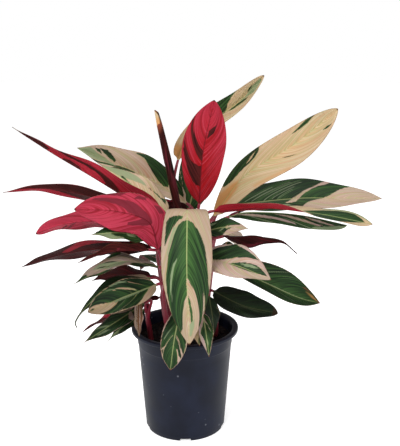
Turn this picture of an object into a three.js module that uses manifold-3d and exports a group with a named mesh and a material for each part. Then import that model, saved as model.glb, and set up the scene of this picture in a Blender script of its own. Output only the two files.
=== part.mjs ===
// Potted stromanthe: a bushy prayer plant with long patterned leaves in a black nursery pot.
// Millimetres, +Z up, the plant's front looks along -Y. The origin is the centre of the pot's underside.
import * as THREE from "three";
import { mergeVertices } from "three/addons/utils/BufferGeometryUtils.js";
import Module from "manifold-3d";

const wasm = await Module();
wasm.setup();

// ---------- driving dimensions ----------

const GAP = 0.3; // clearance between pieces that touch on the real plant
const TURN = 2 * Math.PI;

const POT = {
  height: 164,
  baseRadius: 62,
  neckRadius: 74.5, // outside of the wall right under the lip
  lipRadius: 82.5,
  lipDepth: 6, // from the rim down to where the lip leaves the wall
  lipSlope: 0.4, // how far the lip's underside rises outwards
  lipRound: 1.2, // bevel on the lip's edges
  innerBevel: 2, // depth of the slope from the rim into the mouth
  wall: 1.6,
  floor: 2.5,
  bandBelowRim: 26, // where the wall steps out a little
  bandStep: 0.7,
  footBevel: 1.5,
  sides: 36,
};

const NOTCH = { count: 5, width: 19, depth: 12, height: 4 }; // drain notches round the foot

const SOIL = { surface: 146, roughness: 2, rings: 3, holeDepth: 1, holeClearance: 0.4 };

const BLADE = {
  thickness: 0.9,
  rib: 0.9, // how far the midrib stands out under the blade
  collar: 2, // radius where the blade meets its petiole
  across: 4, // strips across the blade, the same on both faces
  longFrom: 150, // blades at least this long get the finer stations
  longStations: [0, 0.025, 0.08, 0.17, 0.29, 0.42, 0.55, 0.68, 0.8, 0.91, 1],
  stations: [0, 0.04, 0.13, 0.27, 0.43, 0.6, 0.77, 0.9, 1],
};

// What a blade has unless its own row says otherwise: see the comment on LEAVES.
const PLAIN_LEAF = {
  fold: [12, 12],
  cup: -14,
  wave: 2,
  waves: 2.5,
  twist: 0,
  belly: 0.42,
  shoulder: 0.62,
  point: 1.25,
  tip: 0.5,
};

const PETIOLE = { rootRadius: 3.2, sides: 5, rings: 5, reach: 0.42 };
const STEM = { sides: 6, rings: 5 };
const SPIKE = { radii: [4.6, 6, 6.5, 6.4, 6, 5.4, 4.8, 3.2], sides: 8 };

const COLOURS = { pot: 0x2b2d35, soil: 0x1c1512, stem: 0x7a2430, blade: 0x2f5f38, spike: 0x4a1d26 };

// Each shoot: the line of its stem from inside the soil to its top, and its radius at both ends.
const SHOOTS = {
  shoot_centre: { line: [[2, 5, 116], [3, 4, 157], [8, 0, 256], [10, 4, 326]], radius: [7, 5] },
  shoot_right: { line: [[26, 15, 116], [29, 14, 153], [39, 8, 247], [43, 8, 300]], radius: [6.5, 4.5] },
  shoot_left: { line: [[-19, 3, 116], [-22, 2, 158], [-34, -4, 239], [-40, -8, 290]], radius: [6.5, 4.5] },
  shoot_low_right: { line: [[20, -19, 116], [23, -20, 157], [29, -22, 203], [31, -20, 240]], radius: [5.5, 4] },
  shoot_low_left: { line: [[-20, -22, 116], [-24, -24, 159], [-31, -28, 203], [-34, -28, 228]], radius: [5.5, 4] },
  shoot_basal_right: { line: [[44, 0, 116], [48, -2, 159], [48, -4, 180]], radius: [5, 3.5] },
  shoot_basal_left: { line: [[-50, -10, 116], [-54, -12, 161], [-57, -16, 184]], radius: [5, 3.5] },
  shoot_basal_front: { line: [[2, -38, 116], [3, -42, 160], [5, -46, 182]], radius: [5, 3.5] },
  shoot_back: { line: [[2, 44, 116], [2, 46, 158], [5, 52, 235]], radius: [6.5, 4.5] },
};

// Each leaf: the shoot it grows from, how far up the stem its petiole forks off (share of the stem), the
// points its blade's midrib runs through from base to tip, its greatest width, and where its upper face looks
// at mid-blade. fold is how far the left and right halves rise from the midrib (degrees) and cup how they bend
// back towards the edge, twist turns the blade along its length, wave and waves are the height and number of
// its ripples. belly is where the blade is widest (share of its length), shoulder and point shape its outline
// towards the base and the tip, and tip is the least half width it thins to.
const LEAVES = {
  leaf_front_hanging: {
    shoot: "shoot_centre", fork: 0.84, width: 71, face: [0.05, -1, 0.25],
    midrib: [[3, -17, 342], [4, -66, 360], [3, -99, 286], [6, -112, 180]],
    fold: [8, 8], belly: 0.5, shoulder: 0.5, point: 0.64,
  },
  leaf_red_upright: {
    shoot: "shoot_centre", fork: 0.9, width: 62, face: [0.08, 1, 0.2],
    midrib: [[22, -12, 360], [27, -30, 437], [42, -48, 512]],
    fold: [8, 8], cup: -12, wave: 1.5, belly: 0.56, shoulder: 0.62, point: 0.8,
  },
  leaf_top_back: {
    shoot: "shoot_back", fork: 0.97, width: 48, face: [0.3, -1, 0.3],
    midrib: [[-9, 56, 414], [-4, 58, 430], [33, 68, 465], [86, 78, 502], [123, 70, 541]],
    fold: [42, 62], belly: 0.42, shoulder: 0.45, point: 0.6,
  },
  leaf_upper_left: {
    shoot: "shoot_centre", fork: 0.78, width: 66, face: [0.15, -0.85, 0.7],
    midrib: [[3, 26, 352], [-48, 44, 384], [-110, 64, 409], [-167, 78, 430]],
    fold: [40, 60], belly: 0.42, point: 0.9,
  },
  leaf_cream_right: {
    shoot: "shoot_right", fork: 0.85, width: 64, face: [0.1, -0.95, 0.3],
    midrib: [[44, 6, 336], [92, 24, 394], [169, 42, 440], [234, 50, 492]],
    fold: [45, 28], cup: -12, belly: 0.58, point: 0.7,
  },
  leaf_arching_right: {
    shoot: "shoot_right", fork: 0.75, width: 72, face: [-0.05, -0.75, 0.8],
    midrib: [[75, 34, 347], [183, 62, 351], [256, 70, 349], [316, 72, 348]],
    fold: [13, 34], wave: 1.5, belly: 0.45, shoulder: 0.45, point: 0.9,
  },
  leaf_lower_right_red: {
    shoot: "shoot_right", fork: 0.9, width: 34, face: [0, 0.1, 1],
    midrib: [[44, -8, 347], [114, -16, 354], [197, -16, 344], [281, -10, 326]],
    fold: [18, 18], twist: 118, belly: 0.7, shoulder: 0.38, point: 0.8,
  },
  leaf_lower_right_olive: {
    shoot: "shoot_right", fork: 0.82, width: 38, face: [0, -0.85, 0.5],
    midrib: [[67, 1, 336], [86, 6, 341], [122, 9, 341], [179, 8, 336], [246, 2, 322]],
    fold: [-70, 0], belly: 0.66, shoulder: 0.6, point: 0.6,
  },
  leaf_small_cream_tip: {
    shoot: "shoot_right", fork: 0.7, width: 28, face: [0, -0.85, 0.6],
    midrib: [[31, -34, 323], [59, -50, 333], [90, -62, 334]],
    fold: [14, 14],
  },
  leaf_curled_right: {
    shoot: "shoot_right", fork: 0.55, width: 40, face: [0, 0.9, 0.4],
    midrib: [[59, -8, 309], [88, -24, 312], [113, -32, 313], [140, -34, 309], [166, -32, 288]],
    fold: [4, -45], cup: -8, belly: 0.32, point: 3, tip: 1.6,
  },
  leaf_mid_right: {
    shoot: "shoot_low_right", fork: 0.9, width: 66, face: [0.05, -0.85, 0.6],
    midrib: [[25, -46, 287], [75, -84, 285], [118, -112, 274]],
    fold: [4, 40], cup: -10, point: 1.05,
  },
  leaf_far_right: {
    shoot: "shoot_right", fork: 0.42, width: 68, face: [0.15, -0.95, 0.4],
    midrib: [[49, 4, 268], [121, 8, 231], [180, 13, 202], [213, 16, 192]],
    fold: [0, 66], belly: 0.62, shoulder: 0.8, point: 1,
  },
  leaf_low_right: {
    shoot: "shoot_basal_right", fork: 0.8, width: 48, face: [0.05, -0.85, 0.6],
    midrib: [[44, -12, 223], [87, -38, 209], [137, -52, 202]],
    fold: [2, 38], belly: 0.42, shoulder: 0.55, point: 0.65,
  },
  leaf_rim_right: {
    shoot: "shoot_basal_front", fork: 0.85, width: 22, face: [0.2, -1, 0.3],
    midrib: [[26, -64, 208], [30, -90, 187], [34, -102, 157]],
    fold: [15, 15],
  },
  leaf_rim_dark: {
    shoot: "shoot_low_right", fork: 0.75, width: 26, face: [0.5, -0.9, 0.1],
    midrib: [[36, -34, 223], [40, -50, 201], [43, -58, 173]],
    fold: [15, 15], wave: 1,
  },
  leaf_rim_left: {
    shoot: "shoot_basal_front", fork: 0.7, width: 38, face: [-0.1, -1, 0.3],
    midrib: [[-4, -64, 219], [-14, -94, 187], [-21, -106, 139]],
    fold: [8, 8], belly: 0.58,
  },
  leaf_rim_sliver: {
    shoot: "shoot_basal_front", fork: 0.9, width: 16, face: [0.1, -1, 0.3],
    midrib: [[10, -60, 202], [16, -84, 187], [21, -92, 169]],
    fold: [12, 12], wave: 1,
  },
  leaf_under_left: {
    shoot: "shoot_left", fork: 0.9, width: 46, face: [0.3, -0.85, 0.7],
    midrib: [[-24, -4, 344], [-69, 4, 379], [-124, 20, 412]],
    fold: [10, 10],
  },
  leaf_far_left: {
    shoot: "shoot_left", fork: 0.85, width: 50, face: [0.15, 0.6, 0.9],
    midrib: [[-35, -30, 341], [-125, -42, 403], [-184, -40, 439], [-240, -30, 474]],
    fold: [40, 40], belly: 0.2, shoulder: 0.5, point: 1.5,
  },
  leaf_left_dark: {
    shoot: "shoot_left", fork: 0.8, width: 30, face: [0.1, 0.85, 0.5],
    midrib: [[-55, 22, 338], [-151, 40, 362], [-215, 52, 371], [-281, 56, 364]],
    fold: [12, 12], belly: 0.36,
  },
  leaf_front_pink: {
    shoot: "shoot_left", fork: 0.7, width: 66, face: [0, 0.95, 0.3],
    midrib: [[-38, -50, 301], [-50, -59, 343], [-92, -72, 362], [-150, -84, 368]],
    fold: [5, 5], cup: -10, belly: 0.5, point: 0.8,
  },
  leaf_left_pink: {
    shoot: "shoot_left", fork: 0.88, width: 46, face: [0, 0.9, 0.6],
    midrib: [[-61, -30, 333], [-131, -46, 342], [-176, -52, 338], [-210, -56, 326]],
    fold: [10, 22], point: 0.65,
  },
  leaf_left_dark_red: {
    shoot: "shoot_left", fork: 0.6, width: 48, face: [0, 0.7, 0.75],
    midrib: [[-45, -22, 292], [-108, -36, 299], [-174, -40, 292], [-239, -36, 271]],
    fold: [10, 10],
  },
  leaf_left_thin: {
    shoot: "shoot_left", fork: 0.65, width: 26, face: [0, 0.7, 0.7],
    midrib: [[-52, -54, 301], [-102, -70, 304], [-150, -80, 290]],
    fold: [30, 30], belly: 0.35,
  },
  leaf_left_small: {
    shoot: "shoot_left", fork: 0.72, width: 32, face: [0, -0.6, 1],
    midrib: [[-50, -38, 313], [-89, -53, 326], [-130, -68, 328]],
  },
  leaf_left_grey: {
    shoot: "shoot_low_left", fork: 0.92, width: 42, face: [0.1, -0.2, 1],
    midrib: [[-39, -40, 271], [-91, -66, 287], [-153, -96, 265]],
    fold: [20, 14],
  },
  leaf_left_purple: {
    shoot: "shoot_left", fork: 0.5, width: 44, face: [0, -0.2, 1],
    midrib: [[-50, 0, 244], [-94, -14, 252], [-139, -26, 246]],
    fold: [14, 14],
  },
  leaf_left_oval: {
    shoot: "shoot_low_left", fork: 0.85, width: 50, face: [-0.05, -0.95, 0.5],
    midrib: [[-41, -62, 251], [-88, -88, 241], [-135, -98, 224]],
    fold: [42, 6], belly: 0.45, point: 0.7,
  },
  leaf_left_curl: {
    shoot: "shoot_low_left", fork: 0.7, width: 34, face: [-0.2, -0.7, 0.8],
    midrib: [[-51, -44, 255], [-107, -68, 246], [-137, -80, 228], [-155, -86, 203], [-153, -86, 196]],
    fold: [14, 14], belly: 0.33, point: 3, tip: 1.4,
  },
  leaf_low_left_burgundy: {
    shoot: "shoot_basal_left", fork: 0.9, width: 32, face: [0, 0.7, 0.8],
    midrib: [[-64, -30, 213], [-106, -54, 204], [-150, -70, 182]],
    fold: [10, 10],
  },
  leaf_inner_burgundy: {
    shoot: "shoot_left", fork: 0.36, width: 26, face: [0, 0.6, 0.8],
    midrib: [[-38, 2, 209], [-54, 4, 204], [-75, 2, 194]],
    fold: [15, 15], wave: 1,
  },
  leaf_low_left_green: {
    shoot: "shoot_basal_left", fork: 0.85, width: 27, face: [0, -0.7, 0.8],
    midrib: [[-59, -58, 221], [-101, -82, 201], [-143, -94, 177]],
    fold: [14, 14],
  },
  leaf_low_left_small: {
    shoot: "shoot_basal_left", fork: 0.8, width: 26, face: [0, -0.7, 0.8],
    midrib: [[-62, -14, 195], [-91, -38, 179], [-116, -48, 158]],
    fold: [20, 20], belly: 0.35, point: 2.2,
  },
  leaf_rim_dry: {
    shoot: "shoot_basal_left", fork: 0.75, width: 22, face: [0.8, -0.6, 0.2],
    midrib: [[-67, -78, 234], [-69, -88, 211], [-65, -86, 182]],
    fold: [35, 35], wave: 1,
  },
  leaf_back_upright: {
    shoot: "shoot_back", fork: 0.95, width: 58, face: [0, -0.7, 0.7],
    midrib: [[6, 56, 330], [26, 88, 410], [38, 140, 462]],
  },
  leaf_back_centre: {
    shoot: "shoot_back", fork: 0.85, width: 60, face: [0, 0.3, 1],
    midrib: [[4, 78, 285], [8, 135, 305], [10, 205, 262]],
  },
  leaf_back_left: {
    shoot: "shoot_back", fork: 0.75, width: 58, face: [-0.3, 0.2, 1],
    midrib: [[-16, 60, 290], [-55, 108, 312], [-92, 172, 268]],
  },
  leaf_back_right: {
    shoot: "shoot_back", fork: 0.8, width: 58, face: [0.3, 0.2, 1],
    midrib: [[26, 58, 282], [64, 104, 290], [104, 164, 232]],
  },
  leaf_centre_dark: {
    shoot: "shoot_centre", fork: 0.8, width: 24, face: [0, 0.9, 0.3],
    midrib: [[4, 14, 345], [-15, 14, 349], [-36, 14, 358]],
    fold: [10, 10], point: 0.8,
  },
  leaf_back_tall_left: {
    shoot: "shoot_back", fork: 0.92, width: 52, face: [0.2, -0.6, 0.9],
    midrib: [[-32, 66, 350], [-68, 104, 373], [-110, 152, 391]],
  },
  leaf_back_tall_right: {
    shoot: "shoot_right", fork: 0.72, width: 44, face: [-0.2, -0.7, 0.8],
    midrib: [[64, 54, 350], [118, 100, 396], [174, 145, 428]],
  },
  leaf_back_mid_right: {
    shoot: "shoot_right", fork: 0.6, width: 46, face: [0.1, 0.2, 1],
    midrib: [[84, 56, 330], [152, 104, 340], [230, 150, 335]],
  },
  leaf_back_inner_left: {
    shoot: "shoot_left", fork: 0.7, width: 54, face: [-0.5, 0.2, 1],
    midrib: [[-52, 26, 300], [-96, 62, 314], [-150, 104, 282]],
  },
  leaf_back_inner_right: {
    shoot: "shoot_right", fork: 0.6, width: 44, face: [0.5, 0.2, 1],
    midrib: [[56, 30, 266], [86, 66, 268], [110, 98, 234]],
  },
  leaf_back_low_left: {
    shoot: "shoot_back", fork: 0.5, width: 50, face: [-0.3, 0.4, 1],
    midrib: [[-18, 60, 236], [-48, 105, 248], [-78, 156, 204]],
  },
  leaf_back_low_right: {
    shoot: "shoot_back", fork: 0.55, width: 52, face: [0.3, 0.4, 1],
    midrib: [[24, 62, 228], [56, 104, 240], [88, 152, 196]],
  },
};

// The newest leaf, still rolled into a spike.
const SPIKE_LINE = {
  shoot: "shoot_centre",
  fork: 0.95,
  line: [[-7, -4, 340], [-14, -4, 372], [-24, -2, 424], [-39, 2, 492]],
};

// ---------- shared geometry ----------

const point = (p) => new THREE.Vector3(...p);
const curveThrough = (points) => new THREE.CatmullRomCurve3(points.map(point), false, "centripetal");
const radians = THREE.MathUtils.degToRad;

// A closed solid from loops of points with equal counts, capped at both ends. From column flipFrom on, the
// quads are split along their other diagonal, which makes the two faces of a thin blade split alike.
function loft(loops, flipFrom = Infinity) {
  const count = loops[0].length;
  const index = [];
  for (let i = 0; i < loops.length - 1; i += 1) {
    for (let k = 0; k < count; k += 1) {
      const a = i * count + k;
      const b = i * count + ((k + 1) % count);
      const c = a + count;
      const d = b + count;
      if (k < flipFrom) index.push(a, b, d, a, d, c);
      else index.push(a, b, c, b, d, c);
    }
  }
  const last = (loops.length - 1) * count;
  for (let k = 1; k < count - 1; k += 1) {
    index.push(0, k + 1, k);
    index.push(last, last + k, last + k + 1);
  }
  const geometry = new THREE.BufferGeometry().setFromPoints(loops.flat());
  geometry.setIndex(index);
  return geometry;
}

// A round rod along a curve, with radiusAt(share of its length), closed at both ends.
function rod(curve, radiusAt, sides, rings) {
  const frames = curve.computeFrenetFrames(rings, false);
  const loops = [];
  for (let i = 0; i <= rings; i += 1) {
    const centre = curve.getPointAt(i / rings);
    const loop = [];
    for (let k = 0; k < sides; k += 1) {
      const angle = (TURN * k) / sides;
      const spoke = frames.normals[i].clone().multiplyScalar(Math.cos(angle));
      spoke.addScaledVector(frames.binormals[i], Math.sin(angle));
      loop.push(centre.clone().addScaledVector(spoke, radiusAt(i / rings)));
    }
    loops.push(loop);
  }
  return loft(loops);
}

function solid(geometry) {
  const bare = geometry.clone();
  bare.deleteAttribute("normal");
  bare.deleteAttribute("uv");
  const merged = mergeVertices(bare, 1e-3);
  const mesh = new wasm.Mesh({
    numProp: 3,
    vertProperties: new Float32Array(merged.attributes.position.array),
    triVerts: new Uint32Array(merged.index.array),
  });
  return new wasm.Manifold(mesh);
}

function geometryOf(manifold) {
  const mesh = manifold.getMesh();
  const geometry = new THREE.BufferGeometry();
  geometry.setAttribute("position", new THREE.BufferAttribute(mesh.vertProperties, 3));
  geometry.setIndex(new THREE.BufferAttribute(mesh.triVerts, 1));
  geometry.computeVertexNormals();
  return geometry;
}

const part = new THREE.Group();
part.name = "potted_stromanthe";

function addPiece(name, geometry, colour, roughness) {
  const material = new THREE.MeshStandardMaterial({ color: colour, roughness, metalness: 0 });
  const mesh = new THREE.Mesh(geometry, material);
  mesh.name = name;
  part.add(mesh);
}

// ---------- pot and soil ----------

const neckHeight = POT.height - POT.lipDepth;
const bandHeight = POT.height - POT.bandBelowRim;

// Outside radius of the pot's wall at a height, below the band.
function wallRadius(z) {
  return THREE.MathUtils.lerp(POT.baseRadius, POT.neckRadius - POT.bandStep, z / neckHeight);
}

function lathe(profile) {
  return new THREE.LatheGeometry(profile.map((p) => new THREE.Vector2(...p)), POT.sides).rotateX(Math.PI / 2);
}

function makePot() {
  const { height, wall, floor, neckRadius, lipRadius, lipSlope, lipRound, bandStep, footBevel } = POT;
  const profile = [
    [0, 0],
    [POT.baseRadius - footBevel, 0],
    [wallRadius(footBevel), footBevel],
    [wallRadius(bandHeight), bandHeight],
    [wallRadius(bandHeight) + bandStep, bandHeight + bandStep],
    [neckRadius, neckHeight],
    [lipRadius - lipRound, neckHeight + lipSlope],
    [lipRadius, neckHeight + lipSlope + lipRound],
    [lipRadius, height - lipRound],
    [lipRadius - lipRound, height],
    [neckRadius + lipRound, height],
    [neckRadius - wall, height - POT.innerBevel],
    [wallRadius(bandHeight) - wall, bandHeight],
    [wallRadius(floor) - wall, floor],
    [0, floor],
  ];
  let pot = solid(lathe(profile));
  for (let i = 0; i < NOTCH.count; i += 1) {
    const box = new THREE.BoxGeometry(NOTCH.width, 2 * NOTCH.depth, 2 * NOTCH.height);
    box.translate(0, -POT.baseRadius, 0);
    box.rotateZ((TURN * i) / NOTCH.count);
    pot = pot.subtract(solid(box));
  }
  addPiece("pot", geometryOf(pot), COLOURS.pot, 0.5);
}

// Crumbly unevenness of the soil's top: a few crossing waves that fade out at the wall.
function soilHeight(x, y, edge) {
  const wave = Math.sin(x / 7 + 1.3) * Math.cos(y / 9) + 0.6 * Math.sin((x - y) / 5);
  return SOIL.surface + SOIL.roughness * wave * edge;
}

function makeSoil() {
  const top = wallRadius(SOIL.surface) - POT.wall - GAP;
  const side = wallRadius(bandHeight) - POT.wall - GAP;
  const bottom = wallRadius(POT.floor) - POT.wall - GAP;
  const profile = [[0, POT.floor + GAP], [bottom, POT.floor + GAP], [side, bandHeight]];
  for (let i = 0; i <= SOIL.rings; i += 1) profile.push([(top * (SOIL.rings - i)) / SOIL.rings, SOIL.surface]);
  const geometry = lathe(profile);
  const places = geometry.attributes.position;
  for (let i = 0; i < places.count; i += 1) {
    const x = places.getX(i);
    const y = places.getY(i);
    const edge = 1 - (Math.hypot(x, y) / top) ** 2;
    if (places.getZ(i) > SOIL.surface - 1) places.setZ(i, soilHeight(x, y, Math.max(edge, 0)));
  }
  let soil = solid(geometry);
  for (const { line, radius } of Object.values(SHOOTS)) {
    const [x, y, foot] = line[0];
    const hole = curveThrough([[x, y, foot - SOIL.holeDepth], ...line.slice(1)]);
    const radiusAt = (share) => THREE.MathUtils.lerp(...radius, share) + SOIL.holeClearance;
    soil = soil.subtract(solid(rod(hole, radiusAt, STEM.sides, STEM.rings)));
  }
  addPiece("soil", geometryOf(soil), COLOURS.soil, 1);
}

// ---------- leaves ----------

// Half the blade's width at a share of its length, as a share of its greatest half width.
function outline(share, leaf) {
  if (share < leaf.belly) return (1 - ((leaf.belly - share) / leaf.belly) ** 2) ** leaf.shoulder;
  return (1 - ((share - leaf.belly) / (1 - leaf.belly)) ** 1.9) ** leaf.point;
}

// The part of a direction that is square to the blade's run, as a unit vector.
function squareTo(direction, run) {
  return direction.clone().addScaledVector(run, -direction.dot(run)).normalize();
}

// The upper face's direction at each station, carried from mid-blade to both ends without twisting.
function faceDirections(curve, stations, face) {
  const runs = stations.map((share) => curve.getTangentAt(share));
  const middle = Math.floor(runs.length / 2);
  const faces = [];
  faces[middle] = squareTo(point(face), runs[middle]);
  for (let i = middle + 1; i < runs.length; i += 1) faces[i] = squareTo(faces[i - 1], runs[i]);
  for (let i = middle - 1; i >= 0; i -= 1) faces[i] = squareTo(faces[i + 1], runs[i]);
  return { runs, faces };
}

// How far out and how high a point of one half lies, per unit of half width, at v from midrib to edge.
function halfSection(v, fold, cup) {
  const steps = 6;
  let out = 0;
  let rise = 0;
  for (let i = 0; i < steps; i += 1) {
    const slope = radians(fold + (cup * v * (i + 0.5)) / steps);
    out += (Math.cos(slope) * v) / steps;
    rise += (Math.sin(slope) * v) / steps;
  }
  return { out, rise };
}

function makeBlade(name, leaf) {
  const curve = curveThrough(leaf.midrib);
  const stations = curve.getLength() < BLADE.longFrom ? BLADE.stations : BLADE.longStations;
  const { runs, faces } = faceDirections(curve, stations, leaf.face);
  const columns = BLADE.across + 1;
  const loops = stations.map((share, i) => {
    const centre = curve.getPointAt(share);
    const turn = radians(leaf.twist) * (share - 0.5);
    const up = faces[i].clone().applyAxisAngle(runs[i], turn);
    const side = new THREE.Vector3().crossVectors(runs[i], up);
    const half = Math.max((leaf.width / 2) * outline(share, leaf), leaf.tip);
    const upper = [];
    const lower = [];
    for (let k = 0; k < columns; k += 1) {
      const v = (2 * k) / BLADE.across - 1;
      if (i === 0) {
        const angle = (Math.PI * (k + 0.5)) / columns;
        const across = side.clone().multiplyScalar(-BLADE.collar * Math.cos(angle));
        const lift = BLADE.collar * Math.sin(angle);
        upper.push(centre.clone().add(across).addScaledVector(up, lift));
        lower.push(centre.clone().add(across).addScaledVector(up, -lift));
        continue;
      }
      const section = halfSection(Math.abs(v), v < 0 ? leaf.fold[0] : leaf.fold[1], leaf.cup);
      const phase = TURN * leaf.waves * share + (v > 0 ? 1.3 : 0);
      const ripple = leaf.wave * v * v * Math.sin(phase) * Math.min(1, half / 8);
      const place = centre.clone().addScaledVector(side, Math.sign(v) * section.out * half);
      place.addScaledVector(up, section.rise * half + ripple);
      upper.push(place);
      const depth = BLADE.thickness + (v === 0 ? BLADE.rib * (1 - 0.7 * share) : 0);
      lower.push(place.clone().addScaledVector(up, -depth));
    }
    return [...upper, ...lower.reverse()];
  });
  addPiece(name, loft(loops, columns), COLOURS.blade, 0.45);
}

// A petiole leaves the stem along its line and arrives at the blade along the midrib.
function makePetiole(stem, fork, start, run) {
  const root = stem.getPointAt(fork);
  const end = start.clone().addScaledVector(run, -GAP);
  const reach = PETIOLE.reach * root.distanceTo(end);
  const leave = root.clone().addScaledVector(stem.getTangentAt(fork), reach);
  const arrive = end.clone().addScaledVector(run, -reach);
  const curve = new THREE.CubicBezierCurve3(root, leave, arrive, end);
  const radiusAt = (share) => THREE.MathUtils.lerp(PETIOLE.rootRadius, BLADE.collar, share);
  return rod(curve, radiusAt, PETIOLE.sides, PETIOLE.rings);
}

function makeShoot(name, { line, radius }) {
  const stem = curveThrough(line);
  let shoot = solid(rod(stem, (share) => THREE.MathUtils.lerp(...radius, share), STEM.sides, STEM.rings));
  const blades = Object.values(LEAVES).filter((leaf) => leaf.shoot === name);
  const lines = blades.map(({ fork, midrib }) => ({ fork, line: midrib }));
  if (SPIKE_LINE.shoot === name) lines.push(SPIKE_LINE);
  for (const { fork, line: blade } of lines) {
    const curve = curveThrough(blade);
    shoot = shoot.add(solid(makePetiole(stem, fork, curve.getPointAt(0), curve.getTangentAt(0))));
  }
  addPiece(name, geometryOf(shoot), COLOURS.stem, 0.5);
}

function makeSpike() {
  const rings = SPIKE.radii.length - 1;
  const radiusAt = (share) => SPIKE.radii[Math.round(share * rings)];
  const spike = rod(curveThrough(SPIKE_LINE.line), radiusAt, SPIKE.sides, rings);
  addPiece("leaf_rolled_spike", spike, COLOURS.spike, 0.5);
}

makePot();
makeSoil();
for (const [name, shoot] of Object.entries(SHOOTS)) makeShoot(name, shoot);
for (const [name, leaf] of Object.entries(LEAVES)) makeBlade(name, { ...PLAIN_LEAF, ...leaf });
makeSpike();

export default part;
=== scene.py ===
"""Potted stromanthe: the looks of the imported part. Metres, +Z up, the front looks along -Y."""
import math
import random

import bmesh
import bpy
import numpy as np
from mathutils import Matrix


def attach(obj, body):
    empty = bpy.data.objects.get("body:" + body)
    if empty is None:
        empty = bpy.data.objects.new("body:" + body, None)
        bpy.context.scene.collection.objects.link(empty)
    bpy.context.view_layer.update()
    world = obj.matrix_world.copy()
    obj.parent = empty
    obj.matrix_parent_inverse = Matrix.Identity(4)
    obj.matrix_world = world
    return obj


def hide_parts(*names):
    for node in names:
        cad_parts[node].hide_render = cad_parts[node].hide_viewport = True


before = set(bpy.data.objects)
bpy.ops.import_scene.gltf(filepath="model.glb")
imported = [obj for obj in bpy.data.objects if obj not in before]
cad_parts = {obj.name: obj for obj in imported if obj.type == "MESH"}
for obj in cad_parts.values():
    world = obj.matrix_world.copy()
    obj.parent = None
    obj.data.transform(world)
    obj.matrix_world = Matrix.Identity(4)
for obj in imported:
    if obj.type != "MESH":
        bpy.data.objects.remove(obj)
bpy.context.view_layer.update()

MM = 0.001
TURN = 2 * math.pi
GAP = 0.3  # millimetres between pieces that touch on the real plant

# ---------- the plant's table, in millimetres ----------

# The shapes are those of the part's source. Only the tips of leaf_front_hanging and leaf_rim_left differ: the
# first is drawn finer and the other fuller, by their point.

# Each shoot: the line of its stem from inside the soil to its top, and its radius at both ends.
SHOOTS = {
    "shoot_centre": dict(radius=[7, 5], line=[[2, 5, 116], [3, 4, 157], [8, 0, 256], [10, 4, 326]]),
    "shoot_right": dict(radius=[6.5, 4.5], line=[[26, 15, 116], [29, 14, 153], [39, 8, 247], [43, 8, 300]]),
    "shoot_left": dict(
        radius=[6.5, 4.5], line=[[-19, 3, 116], [-22, 2, 158], [-34, -4, 239], [-40, -8, 290]]),
    "shoot_low_right": dict(
        radius=[5.5, 4], line=[[20, -19, 116], [23, -20, 157], [29, -22, 203], [31, -20, 240]]),
    "shoot_low_left": dict(
        radius=[5.5, 4], line=[[-20, -22, 116], [-24, -24, 159], [-31, -28, 203], [-34, -28, 228]]),
    "shoot_basal_right": dict(radius=[5, 3.5], line=[[44, 0, 116], [48, -2, 159], [48, -4, 180]]),
    "shoot_basal_left": dict(radius=[5, 3.5], line=[[-50, -10, 116], [-54, -12, 161], [-57, -16, 184]]),
    "shoot_basal_front": dict(radius=[5, 3.5], line=[[2, -38, 116], [3, -42, 160], [5, -46, 182]]),
    "shoot_back": dict(radius=[6.5, 4.5], line=[[2, 44, 116], [2, 46, 158], [5, 52, 235]]),
}

# Each leaf: shoot is the one it grows from, fork how far up the stem its petiole leaves it (share of the
# stem), width its greatest width, face where its upper face looks at mid-blade, and midrib the points that
# its midrib runs through from base to tip. What a row leaves out stands in PLAIN_LEAF.
#
# Shape: fold is how far the left and right halves rise from the midrib (degrees) and cup how they bend back
# towards the edge, wave and waves are the height and number of its ripples, and twist turns the blade along
# its length. belly is where it is widest (share of its length), shoulder and point shape its outline towards
# the base and the tip, and tip is the least half width it thins to.
#
# Colour: base is the skin's ground, green or cream. pink is how pink it is, and dark how far it is darkened
# towards near black, partly a darker tone of its own and partly painted shade, both from 0 to 1; pink_tip and
# dark_tip add to them towards the tip. band is how much lighter the green runs beside the midrib, and
# dull_and_shade how far the cream is darkened towards a grey brown, partly a duller tone of its own and
# partly painted shade. The skin is dried for dry millimetres at the tip and for worn_edge millimetres along
# the sides, and cream for hem millimetres along the sides. turned swaps the two skins.
#
# patches: each is a tone (green, cream, pale, tan or brown) and its shape. The shape is a closed outline of
# (along, across) points, or a streak along a side vein as (start, near, far, width), which vein_streak draws.
# along runs from 0 at the base to 1 at the tip, and across from -1 at the left edge to 1 at the right one. A
# leaf with no patches of its own grows streaks.
PLAIN_LEAF = dict(
    fold=(12, 12), cup=-14, wave=2, waves=2.5, twist=0, belly=0.42, shoulder=0.62, point=1.25, tip=0.5,
    base="green", pink=0.35, dark=0.0, pink_tip=0.0, dark_tip=0.0, band=0.35, dull_and_shade=0.0, dry=2.0,
    worn_edge=0.0, hem=0.0, turned=False, patches=(),
)
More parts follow.
